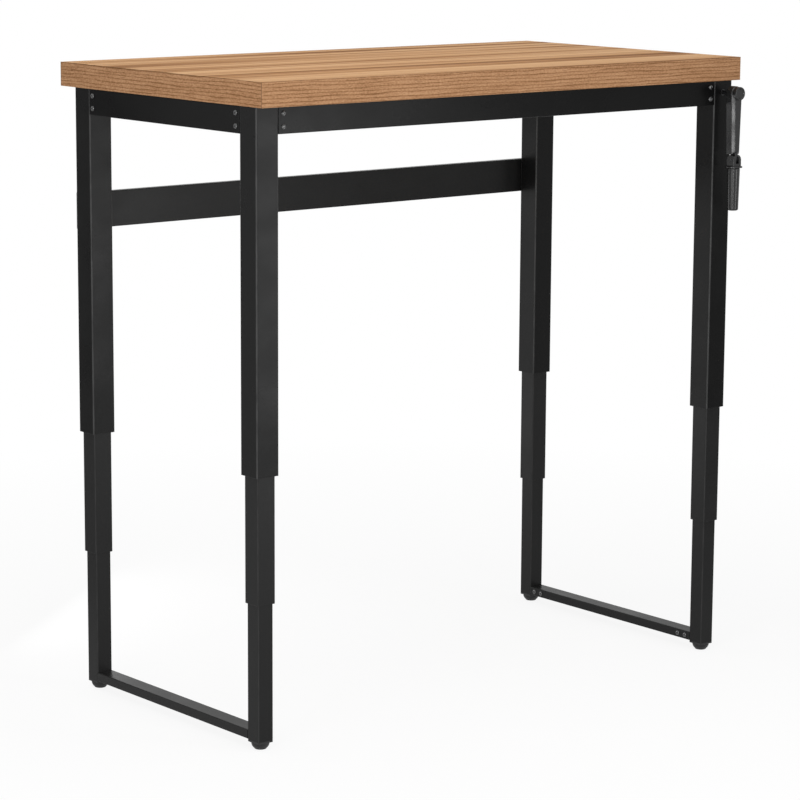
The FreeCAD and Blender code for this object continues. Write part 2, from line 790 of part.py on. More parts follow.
def make_lower_frames():
    nut = make_lift_nut()
    plug = make_end_plug()
    rail_length = rear_y - front_y - inner_size
    rail_front = front_y + inner_size / 2
    half_width = inner_size / 2
    wall = S.rail_wall
    bolt_level = S.rail_height / 2
    bolt_places = (S.rail_bolt_first, S.rail_bolt_first + S.rail_bolt_pitch)
    spigot_half = half_width - wall - S.fit_gap
    bolt = fastener("rail_bolt", S.rail_bolt_length)

    spigot = new_body("rail_spigot")
    section = add_sketch(spigot, "spigot_section", "XZ_Plane")
    low, high = wall + S.fit_gap, S.rail_height - wall - S.fit_gap
    draw_rectangle(section, -spigot_half, spigot_half, low, high)
    pad(spigot, section, S.spigot_length)
    holes = add_sketch(spigot, "spigot_holes", "YZ_Plane", spigot_half)
    for along in bolt_places:
        draw_circle(holes, -along, bolt_level, S.bolt_radius + S.fit_gap)
    pocket(spigot, holes, S.rail_bolt_length)
    half_over = Rotation(Y_AXIS, 180)
    half_turn = Rotation(Z_AXIS, 180)

    for side, sign in (("left", 1), ("right", -1)):
        legs = [f"front_{side}", f"rear_{side}"]
        x = LEGS[legs[0]][0]
        rail = new_body(f"rail_{side}")
        section = add_sketch(rail, f"rail_section_{side}", "XZ_Plane")
        draw_rectangle(section, -half_width, half_width, ZERO, S.rail_height)
        draw_rectangle(section, wall - half_width, half_width - wall, wall, S.rail_height - wall)
        stage = pad(rail, section, rail_length)

        def outer_edge(edge):
            return runs_along(edge, Y_AXIS) and abs(abs(edge.CenterOfMass.x) - half_width.value) < 1e-6

        round_edges(rail, stage, wall, outer_edge)
        holes = add_sketch(rail, f"rail_holes_{side}", "YZ_Plane", half_width)
        for along in bolt_places:
            draw_circle(holes, -along, bolt_level, S.bolt_radius + S.fit_gap)
            draw_circle(holes, along - rail_length, bolt_level, S.bolt_radius + S.fit_gap)
        pocket(rail, holes, wall)
        turn = UPRIGHT if sign > 0 else half_turn
        start = rail_front + rail_length if sign > 0 else rail_front
        keep(f"foot_rail_{side}", place(rail, x, start, rail_bottom, turn))

        top = rail_bottom + S.rail_height
        rear_end = rail_front + rail_length
        if sign > 0:
            spots = ((rear_end, rail_bottom, UPRIGHT), (rail_front, top, half_over.multiply(half_turn)))
        else:
            spots = ((rail_front, rail_bottom, half_turn), (rear_end, top, half_over))
        group(f"rail_spigots_{side}", [(spigot, x, y, z, turn) for y, z, turn in spots])
        into_rail = Rotation(Z_AXIS, X_AXIS * -sign)
        face = x + half_width * sign
        bolts = []
        for along in bolt_places:
            for y in (rail_front + along, rear_end - along):
                bolts.append((bolt, face, y, rail_bottom + bolt_level, into_rail))
        group(f"rail_bolts_{side}", bolts)
        group(f"lift_nuts_{side}", [(nut, *LEGS[leg], inner_top, UPRIGHT) for leg in legs])
        group(f"end_plugs_{side}", [(plug, *LEGS[leg], inner_bottom, UPRIGHT) for leg in legs])
        for leg in legs:
            make_foot(leg, *LEGS[leg])


# Drive: gear housings, lead screws and shafts in the leg heads
def make_gear_housings():
    """One casting that fits all four leg heads, bored on every side."""
    body = new_body("gear_housing")
    height = housing_top - housing_bottom
    add_block(body, "housing_block", ZERO, housing_size, S.outer_corner, height)
    chamber = add_sketch(body, "housing_chamber", "XY_Plane", height)
    draw_square(chamber, housing_size - S.housing_wall * 2)
    pocket(body, chamber, height - S.housing_floor)
    screw_bore = add_sketch(body, "screw_bore", "XY_Plane", S.housing_floor)
    draw_circle(screw_bore, ZERO, ZERO, S.journal_radius + S.run_gap)
    pocket(body, screw_bore, S.housing_floor)
    for role in ("XZ_Plane", "YZ_Plane"):
        bores = add_sketch(body, f"shaft_bores_{role}", role, housing_size / 2)
        draw_circle(bores, ZERO, drive_z - housing_bottom, sleeve_radius + S.run_gap)
        pocket(body, bores, housing_size)
    group("gear_housings", [(body, x, y, housing_bottom, UPRIGHT) for x, y in LEGS.values()])


def make_lead_screw(leg, x, y):
    """A lead screw with its thrust collar and its bevel gear, on the leg's axis."""
    root_drop = pinion_radius + dedendum
    outline = [
        (ZERO, -root_drop * FACE_SHARE),
        (gear_radius * FACE_SHARE, -root_drop * FACE_SHARE),
        (gear_radius, -root_drop),
        (gear_radius, gear_back_z - drive_z),
        (S.journal_radius, gear_back_z - drive_z),
        (S.journal_radius, thrust_top - drive_z),
        (S.thrust_radius, thrust_top - drive_z),
        (S.thrust_radius, thrust_bottom - drive_z),
        (S.lead_radius, thrust_bottom - drive_z),
        (S.lead_radius, lead_bottom + S.lead_chamfer - drive_z),
        (S.lead_radius - S.lead_chamfer, lead_bottom - drive_z),
        (ZERO, lead_bottom - drive_z),
    ]
    body = turned_body(f"lead_{leg}", outline)
    sections = []
    for scale in (1, FACE_SHARE):
        sections.append(
            tooth_outline(
                addendum - pinion_radius,
                -root_drop,
                -root_drop - module * TOOTH_SEAT,
                tooth_half + dedendum * FLANK_SLOPE,
                scale,
            )
        )
    planes = [gear_radius, gear_radius * FACE_SHARE]
    cut_teeth(body, f"gear_{leg}", "YZ_Plane", planes, sections, gear_teeth)
    half_pitch = Rotation(Z_AXIS, 180 / gear_teeth)
    keep(f"lead_screw_{leg}", place(body, x, y, drive_z, half_pitch))


def make_drive_shaft(name, start, end, turn):
    """A shaft from leg to leg with a pinion at each end, along its body's Z axis from start's leg."""
    span = end[0] - start[0] + end[1] - start[1]
    if span.value < 0:
        span = -span
    hub = housing_size / 2 - S.housing_wall - S.run_gap
    journal = sleeve_radius
    outline = pinion_outline(ZERO, 1, hub)
    outline += [(journal, hub), (journal, half_leg), (S.shaft_radius, half_leg)]
    outline += [(S.shaft_radius, span - half_leg), (journal, span - half_leg), (journal, span - hub)]
    outline += list(reversed(pinion_outline(span, -1, hub)))
    body = turned_body(name, outline)
    pinion_teeth_on(body, f"{name}_first", ZERO, 1)
    pinion_teeth_on(body, f"{name}_last", span, -1)
    keep(name, place(body, *start, drive_z, turn))


def make_drive():
    make_gear_housings()
    for leg, (x, y) in LEGS.items():
        make_lead_screw(leg, x, y)
    to_rear = Rotation(X_AXIS, -90)
    to_left = Rotation(X_AXIS, -90).multiply(Rotation(Y_AXIS, -90))
    make_drive_shaft("drive_shaft_right", LEGS["front_right"], LEGS["rear_right"], to_rear)
    make_drive_shaft("drive_shaft_left", LEGS["front_left"], LEGS["rear_left"], to_rear)
    make_drive_shaft("drive_shaft_rear", LEGS["rear_right"], LEGS["rear_left"], to_left)


# Hand crank on the front right leg, shown pulled out clear of the top's front edge
crank_x = leg_x
leg_face_y = front_y - half_leg
arm_back = S.front_inset + S.edge_gap
arm_front = arm_back + S.arm_thick
grip_out = arm_back + S.ring_depth / 2
pivot_z = drive_z - S.arm_length


def draw_hexagon(sketch, across):
    """A hexagon with two corners on the sketch's X axis."""
    corner = across / math.sqrt(3)
    rise = across / 2
    points = [
        (corner, ZERO),
        (corner / 2, rise),
        (-corner / 2, rise),
        (-corner, ZERO),
        (-corner / 2, -rise),
        (corner / 2, -rise),
    ]
    draw_polygon(sketch, points)


def make_crank_drive():
    """The pinion that the crank turns, and the hexagon shaft that slides in it."""
    hub = housing_size / 2 - S.housing_wall - S.run_gap
    outline = pinion_outline(ZERO, 1, hub)
    outline += [(sleeve_radius, hub), (sleeve_radius, half_leg), (ZERO, half_leg)]
    body = turned_body("crank_pinion", outline)
    pinion_teeth_on(body, "crank_pinion", ZERO, 1)
    bore = add_sketch(body, "hexagon_bore", "XY_Plane", half_leg)
    draw_hexagon(bore, S.crank_hex + S.run_gap * 2)
    pocket(body, bore, half_leg - gear_radius * FACE_SHARE + S.run_gap)
    to_front = Rotation(X_AXIS, 90)
    keep("crank_pinion", place(body, crank_x, front_y, drive_z, to_front))

    inner_end = S.crank_pull - gear_radius * FACE_SHARE + S.crank_shaft_clear
    outer_end = half_leg + arm_back + S.crank_socket
    shaft = new_body("crank_shaft")
    section = add_sketch(shaft, "hexagon", "XY_Plane", inner_end)
    draw_hexagon(section, S.crank_hex)
    pad(shaft, section, outer_end - inner_end)
    keep("crank_shaft", place(shaft, crank_x, front_y, drive_z, to_front))


def draw_arm_outline(sketch):
    """The arm's outline: round over the hub, tapering down to the fold joint."""
    hub, end_half = S.hub_radius, S.arm_end_width / 2
    shoulder = -(S.arm_length - S.ear_radius - S.shoulder_gap)
    corners = [(-hub, ZERO), (-end_half, shoulder), (end_half, shoulder), (hub, ZERO)]
    spots = [Vector(x.value, y.value, 0) for x, y in corners]
    for number in range(len(spots) - 1):
        sketch.addGeometry(Part.LineSegment(spots[number], spots[number + 1]))
    arc = Part.ArcOfCircle(Part.Circle(Vector(), Z_AXIS, hub.value), 0, math.pi)
    last = sketch.addGeometry(arc)
    for number in range(last - 1):
        sketch.addConstraint(Sketcher.Constraint("Coincident", number, 2, number + 1, 1))
    sketch.addConstraint(Sketcher.Constraint("Coincident", last, 3, -1, 1))
    sketch.addConstraint(Sketcher.Constraint("Coincident", last, 1, last - 1, 2))
    sketch.addConstraint(Sketcher.Constraint("Coincident", last, 2, 0, 1))
    fix_point(sketch, 0, 1, *corners[0])
    sketch.addConstraint(Sketcher.Constraint("PointOnObject", last - 1, 2, -1))
    for number, (x, y) in enumerate(corners[1:-1], start=1):
        fix_point(sketch, number, 1, x, y)
    return shoulder


def make_crank_arm():
    body = new_body("crank_arm")
    outline = add_sketch(body, "arm_outline", "XZ_Plane", arm_back)
    shoulder = draw_arm_outline(outline)
    stage = pad(body, outline, S.arm_thick)
    front, back = -arm_front.value, -arm_back.value

    def face_edge(edge):
        y = edge.CenterOfMass.y
        return abs(y - front) < 1e-6 or abs(y - back) < 1e-6

    round_edges(body, stage, S.arm_edge, face_edge)
    boss = add_sketch(body, "boss", "XZ_Plane", arm_front - S.arm_edge)
    draw_circle(boss, ZERO, ZERO, S.boss_radius)
    stage = pad(body, boss, S.arm_edge + S.boss_height)
    tip = -(arm_front + S.boss_height).value
    round_edges(body, stage, S.boss_edge, lambda edge: abs(edge.CenterOfMass.y - tip) < 1e-6)
    tongue_end = S.tongue_thick / 2
    tongue = add_sketch(body, "tongue", "YZ_Plane", -S.tongue_width / 2)
    draw_tongue(tongue, grip_out, -S.arm_length, tongue_end, shoulder + S.arm_edge)
    pad(body, tongue, S.tongue_width)
    pin_hole = add_sketch(body, "pin_hole", "YZ_Plane", S.tongue_width / 2)
    draw_circle(pin_hole, -grip_out, -S.arm_length, S.pin_radius + S.run_gap)
    pocket(body, pin_hole, S.tongue_width)
    socket = add_sketch(body, "hexagon_socket", "XZ_Plane", arm_back)
    draw_hexagon(socket, S.crank_hex + S.fit_gap * 2)
    pocket(body, socket, S.crank_socket + S.fit_gap, along_normal=True)
    keep("crank_arm", place(body, crank_x, leg_face_y, drive_z))


def draw_tongue(sketch, out, level, radius, top):
    """A bar with a round lower end about the pivot, in the YZ plane."""
    corners = [(-out - radius, level), (-out - radius, top), (-out + radius, top), (-out + radius, level)]
    spots = [Vector(x.value, y.value, 0) for x, y in corners]
    for number in range(3):
        sketch.addGeometry(Part.LineSegment(spots[number], spots[number + 1]))
    centre = Vector(-out.value, level.value, 0)
    arc = Part.ArcOfCircle(Part.Circle(centre, Z_AXIS, radius.value), math.pi, math.pi * 2)
    sketch.addGeometry(arc)
    sketch.addConstraint(Sketcher.Constraint("Coincident", 0, 2, 1, 1))
    sketch.addConstraint(Sketcher.Constraint("Coincident", 1, 2, 2, 1))
    sketch.addConstraint(Sketcher.Constraint("Coincident", 2, 2, 3, 2))
    sketch.addConstraint(Sketcher.Constraint("Coincident", 3, 1, 0, 1))
    fix_point(sketch, 3, 3, -out, level)
    fix_point(sketch, 0, 1, *corners[0])
    fix_point(sketch, 0, 2, *corners[1])
    number = sketch.addConstraint(Sketcher.Constraint("DistanceY", -1, 1, 2, 2, level.value))
    bind(sketch, f"Constraints[{number}]", level)
    sketch.addConstraint(Sketcher.Constraint("Horizontal", 1))
    sketch.addConstraint(Sketcher.Constraint("Vertical", 2))


def make_grip():
    """The fold joint's link with its spindle, its pin, and the sleeve that turns on the spindle."""
    half_ear = S.ear_width / 2
    slot = S.tongue_width / 2 + S.run_gap
    link = new_body("grip_link")
    ears = add_sketch(link, "ears", "YZ_Plane", -half_ear)
    draw_ears(ears, S.ear_radius, -S.link_drop)
    stage = pad(link, ears, S.ear_width)

    def side_edge(edge):
        return abs(abs(edge.CenterOfMass.x) - half_ear.value) < 1e-6

    round_edges(link, stage, S.link_edge, side_edge)
    ring = add_sketch(link, "ring", "XY_Plane", -S.link_drop - S.ring_thick)
    draw_circle(ring, ZERO, ZERO, S.ring_radius)
    pad(link, ring, S.ring_thick)
    flats = add_sketch(link, "ring_flats", "XY_Plane", -S.link_drop)
    draw_rectangle(flats, -S.ring_radius, S.ring_radius, -S.ring_radius, -S.ring_depth / 2)
    draw_rectangle(flats, -S.ring_radius, S.ring_radius, S.ring_depth / 2, S.ring_radius)
    pocket(link, flats, S.ring_thick)
    spindle = add_sketch(link, "spindle", "XY_Plane", -S.link_drop - S.ring_thick - S.spindle_length)
    draw_circle(spindle, ZERO, ZERO, S.spindle_radius)
    pad(link, spindle, S.spindle_length)
    slot_bottom = -(S.tongue_thick / 2 + S.run_gap * 4)
    gap = add_sketch(link, "slot", "XZ_Plane", -S.ear_radius)
    draw_rectangle(gap, -slot, slot, slot_bottom, S.ear_radius)
    pocket(link, gap, S.ear_radius * 2, along_normal=True)
    hole = add_sketch(link, "link_pin_hole", "YZ_Plane", half_ear)
    draw_circle(hole, ZERO, ZERO, S.pin_radius + S.fit_gap)
    pocket(link, hole, S.ear_width)
    y = leg_face_y - grip_out
    keep("grip_link", place(link, crank_x, y, pivot_z))

    pin = doc.addObject("Part::Cylinder", "pivot_pin")
    bind(pin, "Radius", S.pin_radius)
    bind(pin, "Height", S.ear_width)
    keep("grip_pin", place(pin, crank_x - half_ear, y, pivot_z, Rotation(Z_AXIS, X_AXIS)))

    top = -S.link_drop - S.ring_thick - S.run_gap
    end = top - S.grip_length
    bore = S.spindle_radius + S.run_gap
    outline = [
        (bore, top),
        (S.grip_top_radius - S.grip_edge, top),
        (S.grip_top_radius, top - S.grip_edge),
        (S.grip_tip_radius, end),
        (ZERO, end),
        (ZERO, top - S.spindle_length),
        (bore, top - S.spindle_length),
    ]
    sleeve = turned_body("grip_sleeve", outline)
    round_edges(sleeve, sleeve.Tip, S.grip_nose, lambda edge: abs(edge.CenterOfMass.z - end.value) < 1e-6)
    keep("crank_grip", place(sleeve, crank_x, y, pivot_z))


def draw_ears(sketch, radius, bottom):
    """The link's side view: round over the pivot, square below it."""
    sketch.addGeometry(Part.LineSegment(Vector(-radius.value, 0, 0), Vector(-radius.value, bottom.value, 0)))
    corner = Vector(radius.value, bottom.value, 0)
    sketch.addGeometry(Part.LineSegment(Vector(-radius.value, bottom.value, 0), corner))
    sketch.addGeometry(Part.LineSegment(corner, Vector(radius.value, 0, 0)))
    sketch.addGeometry(Part.ArcOfCircle(Part.Circle(Vector(), Z_AXIS, radius.value), 0, math.pi))
    sketch.addConstraint(Sketcher.Constraint("Coincident", 0, 2, 1, 1))
    sketch.addConstraint(Sketcher.Constraint("Coincident", 1, 2, 2, 1))
    sketch.addConstraint(Sketcher.Constraint("Coincident", 2, 2, 3, 1))
    sketch.addConstraint(Sketcher.Constraint("Coincident", 3, 2, 0, 1))
    sketch.addConstraint(Sketcher.Constraint("Coincident", 3, 3, -1, 1))
    fix_point(sketch, 0, 1, -radius, ZERO)
    fix_point(sketch, 1, 1, -radius, bottom)
    fix_point(sketch, 2, 1, radius, bottom)
    sketch.addConstraint(Sketcher.Constraint("PointOnObject", 2, 2, -1))


make_tabletop()
make_aprons()
make_crossbar()
make_legs()
make_lower_frames()
make_drive()
make_crank_drive()
make_crank_arm()
make_grip()
doc.recompute()

# Nothing is written unless every object of the document is sound.
for item in doc.Objects:
    if "Invalid" in item.State or "Error" in item.State:
        raise RuntimeError(f"{item.Name} failed: {item.State}")
for label, item in nodes.items():
    if item.Shape.isNull() or not item.Shape.isValid() or not item.Shape.Solids:
        raise RuntimeError(f"{label} has no sound solid")

os.makedirs("parts", exist_ok=True)
for label, item in nodes.items():
    item.Shape.exportStep(os.path.join("parts", f"{label}.step"))
print(f"{len(nodes)} sub-parts written")
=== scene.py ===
# %% [markdown]
# # A crank-raised desk, dressed for the studio
# The desk arrives from CAD as a set of solid parts that already stand in the right place, in metres.
# This lesson lights them, gives each one the finish that the real part has, and models the small visible
# pieces afresh where a plain solid would look too bare close up.

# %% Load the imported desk
import math
import bmesh
import bpy
from mathutils import Matrix, Vector


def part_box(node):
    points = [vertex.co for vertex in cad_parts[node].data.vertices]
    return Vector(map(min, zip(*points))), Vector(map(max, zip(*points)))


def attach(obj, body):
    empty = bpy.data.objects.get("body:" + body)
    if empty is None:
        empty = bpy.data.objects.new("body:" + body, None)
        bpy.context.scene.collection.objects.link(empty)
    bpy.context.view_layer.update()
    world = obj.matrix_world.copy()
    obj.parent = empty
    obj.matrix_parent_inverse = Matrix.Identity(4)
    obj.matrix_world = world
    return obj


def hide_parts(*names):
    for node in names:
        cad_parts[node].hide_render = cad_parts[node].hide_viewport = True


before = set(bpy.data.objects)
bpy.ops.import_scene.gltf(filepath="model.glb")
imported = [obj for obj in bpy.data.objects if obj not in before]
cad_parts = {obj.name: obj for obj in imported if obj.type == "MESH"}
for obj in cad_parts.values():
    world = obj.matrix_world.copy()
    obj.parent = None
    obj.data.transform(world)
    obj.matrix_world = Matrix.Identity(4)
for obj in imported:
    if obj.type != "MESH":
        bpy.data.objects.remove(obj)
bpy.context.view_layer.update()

# %% [markdown]
# ## The camera
# The picture was taken from far off with a long lens, from the front left and a little above the top.
# A camera can be turned by eye until it agrees, but the corners of the top and the ends of the tubes are
# known points, so the place, the turn and the lens were fitted to them instead. The lens has no shift, so
# every other view of the desk stays centred.

# %% Place the camera
camera_place = (-3.7500, -4.5260, 1.6216)
heading_degrees = -39.437
dip_degrees = 10.31
roll_degrees = 0.35

lens = bpy.data.cameras.new("studio_camera")
lens.sensor_width = 36.0
lens.lens = 134.3
camera = bpy.data.objects.new("studio_camera", lens)
bpy.context.scene.collection.objects.link(camera)
heading = Matrix.Rotation(math.radians(heading_degrees), 4, "Z")
tilt = Matrix.Rotation(math.radians(90 - dip_degrees), 4, "X")
roll = Matrix.Rotation(math.radians(roll_degrees), 4, "Z")
camera.matrix_world = Matrix.Translation(camera_place) @ heading @ tilt @ roll
bpy.context.scene.camera = camera
bpy.context.scene.view_settings.view_transform = "Standard"
print("camera", [round(x, 2) for x in camera.location], "lens", lens.lens, "mm")

# %% [markdown]
# ## Node helpers
# Every finish below is a small node tree that reads Object coordinates, which are metres in the desk's own
# frame, so a grain of two millimetres is two millimetres on every part. Such a tree can be wired by hand in
# the Shader Editor, but a script wires it the same way for every finish. These helpers start a finish, add
# a node, do sums, and read a noise through a mapping that stretches it.

# %% Nodes, sums and noise
def new_finish(name):
    """A material with its node tree and its main shader."""
    finish = bpy.data.materials.new(name)
    finish.use_nodes = True
    tree = finish.node_tree
    return finish, tree, tree.nodes["Principled BSDF"]


def add_node(tree, kind, **settings):
    """One node of a kind, with its settings."""
    node = tree.nodes.new(kind)
    for key, value in settings.items():
        setattr(node, key, value)
    return node


def calc(tree, operation, *values):
    """One sum; each value is a socket or a plain number."""
    node = add_node(tree, "ShaderNodeMath", operation=operation)
    for socket, value in zip(node.inputs, values):
        if isinstance(value, float):
            socket.default_value = value
        else:
            tree.links.new(value, socket)
    return node.outputs["Value"]


def sum_of(tree, *shares):
    """A weighted sum of values, given as pairs of value and weight."""
    total = 0.0
    for value, weight in shares:
        total = calc(tree, "MULTIPLY_ADD", value, weight, total)
    return total


def ranged(tree, value, start, end, low=0.0, high=1.0):
    """Turns the range from start to end into the one from low to high, and holds it there."""
    node = add_node(tree, "ShaderNodeMapRange")
    limits = {"From Min": start, "From Max": end, "To Min": low, "To Max": high}
    for key, limit in limits.items():
        node.inputs[key].default_value = limit
    tree.links.new(value, node.inputs["Value"])
    return node.outputs["Result"]


def place_on_desk(tree):
    """Where a point lies in the desk's own frame."""
    return add_node(tree, "ShaderNodeTexCoord").outputs["Object"]


def stretched_place(tree, stretch, shift):
    """The same place, multiplied along each axis and moved."""
    mapping = add_node(tree, "ShaderNodeMapping")
    mapping.inputs["Scale"].default_value = stretch
    mapping.inputs["Location"].default_value = shift
    tree.links.new(place_on_desk(tree), mapping.inputs["Vector"])
    return mapping.outputs["Vector"]


def noise(tree, stretch, detail=3.0, rough=0.5, shift=(0, 0, 0)):
    """Noise in object space; stretch is how many times it repeats in a metre along each axis."""
    cloud = add_node(tree, "ShaderNodeTexNoise")
    cloud.inputs["Scale"].default_value = 1.0
    cloud.inputs["Detail"].default_value = detail
    cloud.inputs["Roughness"].default_value = rough
    tree.links.new(stretched_place(tree, stretch, shift), cloud.inputs["Vector"])
    return cloud.outputs["Fac"]


print("helpers for nodes, sums and noise")

# %% [markdown]
# ## Colour and relief helpers
# A value becomes a colour through a ramp, and two colours are mixed by a share. Relief is a bump whose depth
# is given in metres. A real edge is never quite sharp, and the Bevel node rounds one for the light without
# any new faces. Where its normal departs from the flat one there is an edge, and that makes a mask for
# edges: the powder coat paints a highlight along it, and the other finishes make their edges lighter.

# %% Colours, relief and edges
def tones(tree, value, *stops):
    """A colour ramp; each stop is a place and a colour, or a place and one grey."""
    ramp = add_node(tree, "ShaderNodeValToRGB")
    while len(ramp.color_ramp.elements) < len(stops):
        ramp.color_ramp.elements.new(0.5)
    for element, (place, colour) in zip(ramp.color_ramp.elements, stops):
        element.position = place
        rgb = colour if isinstance(colour, tuple) else (colour, colour, colour)
        element.color = (*rgb, 1.0)
    tree.links.new(value, ramp.inputs["Fac"])
    return ramp.outputs["Color"]


def blend_tones(tree, share, first, second):
    """Mixes two colours by a share; each is a socket or a plain value."""
    mix = add_node(tree, "ShaderNodeMix", data_type="RGBA")
    share_socket, first_socket, second_socket = (mix.inputs[place] for place in (0, 6, 7))
    mixed_colour = mix.outputs[2]
    for socket, colour in ((first_socket, first), (second_socket, second)):
        if isinstance(colour, tuple):
            socket.default_value = (*colour, 1.0)
        else:
            tree.links.new(colour, socket)
    if isinstance(share, float):
        share_socket.default_value = share
    else:
        tree.links.new(share, share_socket)
    return mixed_colour


def coat_with(tree, shader, colour, roughness):
    """Gives the main shader its colour and its roughness."""
    tree.links.new(colour, shader.inputs["Base Color"])
    tree.links.new(roughness, shader.inputs["Roughness"])


def relief(tree, shader, height, depth, strength, base_normal=None):
    """Bump on a shader, with the depth of the relief in metres."""
    bump = add_node(tree, "ShaderNodeBump")
    bump.inputs["Distance"].default_value = depth
    bump.inputs["Strength"].default_value = strength
    tree.links.new(height, bump.inputs["Height"])
    if base_normal is not None:
        tree.links.new(base_normal, bump.inputs["Normal"])
    tree.links.new(bump.outputs["Normal"], shader.inputs["Normal"])


def eased_edges(tree, radius):
    """A normal that rounds hard edges, and a mask that is bright on them."""
    bevel = add_node(tree, "ShaderNodeBevel", samples=6)
    bevel.inputs["Radius"].default_value = radius
    flat = add_node(tree, "ShaderNodeNewGeometry")
    agreement = add_node(tree, "ShaderNodeVectorMath", operation="DOT_PRODUCT")
    tree.links.new(bevel.outputs["Normal"], agreement.inputs[0])
    tree.links.new(flat.outputs["Normal"], agreement.inputs[1])
    mask = ranged(tree, agreement.outputs["Value"], start=1.0, end=0.82)
    return bevel.outputs["Normal"], mask


print("helpers for colours, relief and edges")

# %% [markdown]
# ## The floor
# The desk stands on a white sweep. A wide disc serves for it, because its rim is too far away to be seen.
# It belongs to the studio and not to the desk.

# %% Floor
def linked_object(name, shape):
    """Turns a bmesh into an object of the scene."""
    mesh = bpy.data.meshes.new(name)
    shape.to_mesh(mesh)
    shape.free()
    thing = bpy.data.objects.new(name, mesh)
    bpy.context.scene.collection.objects.link(thing)
    return thing


floor_shape = bmesh.new()
bmesh.ops.create_circle(floor_shape, cap_ends=True, segments=96, radius=30.0)
floor = linked_object("floor", floor_shape)
print("floor", [round(x, 1) for x in floor.dimensions])

# %% [markdown]
# ## White paper
# The floor shows the camera a white of its own, mixed with the light that really falls on it, so a soft
# shadow stays under the rails while the rest is clean white. The share of its own white grows with the
# distance from the desk. From below the floor is clear, so the underside can be looked at too.

# %% Paper of the floor
def seen_directly(tree):
    """One for camera, mirror and glass rays, which look at the backdrop, and nought for light."""
    rays = add_node(tree, "ShaderNodeLightPath").outputs
    looking = calc(tree, "MAXIMUM", rays["Is Camera Ray"], rays["Is Glossy Ray"])
    return calc(tree, "MAXIMUM", looking, rays["Is Transmission Ray"])


def mixed_shaders(tree, share, first, second):
    """The first shader where the share is nought, and the second where it is one."""
    mix = add_node(tree, "ShaderNodeMixShader")
    for socket, source in zip(mix.inputs, (share, first, second)):
        tree.links.new(source, socket)
    return mix.outputs["Shader"]


paper, tree, shader = new_finish("studio_paper")
shader.inputs["Base Color"].default_value = (0.9, 0.9, 0.9, 1.0)
shader.inputs["Roughness"].default_value = 0.9
shader.inputs["Specular IOR Level"].default_value = 0.0
glow = add_node(tree, "ShaderNodeEmission")
glow.inputs["Strength"].default_value = 1.0
from_middle = add_node(tree, "ShaderNodeVectorMath", operation="LENGTH")
tree.links.new(place_on_desk(tree), from_middle.inputs[0])
own_white = ranged(tree, from_middle.outputs["Value"], start=0.9, end=2.4, low=0.88, high=1.0)
shown_white = calc(tree, "MULTIPLY", seen_directly(tree), own_white)
lit_paper = mixed_shaders(tree, shown_white, shader.outputs["BSDF"], glow.outputs["Emission"])
under_side = add_node(tree, "ShaderNodeNewGeometry").outputs["Backfacing"]
clear = add_node(tree, "ShaderNodeBsdfTransparent").outputs["BSDF"]
one_way = mixed_shaders(tree, under_side, lit_paper, clear)
tree.links.new(one_way, tree.nodes["Material Output"].inputs["Surface"])
floor.data.materials.append(paper)
print("finish", paper.name)

# %% [markdown]
# ## The world
# The world stands for the white walls of the studio. It is white to the camera and to reflections, and
# lights the desk more gently, so the lamps still shape it.

# %% World
world = bpy.data.worlds.new("white_studio")
bpy.context.scene.world = world
world.use_nodes = True
tree = world.node_tree
walls_lighting = tree.nodes["Background"]
walls_seen = add_node(tree, "ShaderNodeBackground")
for background, strength in ((walls_lighting, 0.5), (walls_seen, 1.0)):
    background.inputs["Color"].default_value = (1.0, 1.0, 1.0, 1.0)
    background.inputs["Strength"].default_value = strength
walls = mixed_shaders(
    tree, seen_directly(tree), walls_lighting.outputs["Background"], walls_seen.outputs["Background"]
)
tree.links.new(walls, tree.nodes["World Output"].inputs["Surface"])
print("world", world.name)

# %% [markdown]
# ## Soft lamps
# Black powder coat shows light mostly as reflections, so the lamps are chosen for what the flat faces of
# the tubes mirror. A broad box overhead lights the top, and a low one at the left lights the left edge and
# shows as a line along the tubes' rounded corners. A tall box at the front right is what the front faces
# reflect towards the camera: its beam is narrowed and turned to the left end of the desk. A weak one behind
# the desk does the same for the left faces of the right legs. A small one low in front is mirrored by the
# slanted edges of the crank.

# %% Lamps
def soft_box(name, place, aim, width, height, watts, beam=180):
    """A rectangular soft lamp that faces a point and is not seen itself; its beam is in degrees."""
    light = bpy.data.lights.new(name, "AREA")
    light.shape = "RECTANGLE"
    light.size = width
    light.size_y = height
    light.energy = watts
    light.spread = math.radians(beam)
    lamp = bpy.data.objects.new(name, light)
    toward = Vector(aim) - Vector(place)
    lamp.matrix_world = Matrix.Translation(place) @ toward.to_track_quat("-Z", "Y").to_matrix().to_4x4()
    lamp.visible_camera = False
    bpy.context.scene.collection.objects.link(lamp)


soft_box("overhead_box", (-0.45, -0.4, 3.2), (0.0, 0.0, 1.0), width=2.6, height=2.2, watts=39.0)
soft_box("corner_box", (-3.4, -1.5, 0.95), (0.0, 0.0, 0.9), width=1.2, height=1.4, watts=34.0)
soft_box("front_box", (0.95, -2.35, 0.8), (-0.7, -0.3, 0.8), width=0.6, height=1.5, watts=6.8, beam=100)
soft_box("side_box", (-0.3, 0.85, 0.5), (0.6, -0.29, 0.5), width=0.7, height=0.9, watts=2.9)
soft_box("spark_box", (-1.95, -2.85, 0.72), (0.57, -0.33, 1.1), width=0.35, height=0.4, watts=15.0)

# %% [markdown]
# ## Grey cards
# Two faces of the legs mirror nothing but white floor, and would look paler than they should. A photographer
# stands a grey card where such a face looks. Here the cards exist for mirror rays only: they cast no shadow,
# and no camera sees them.

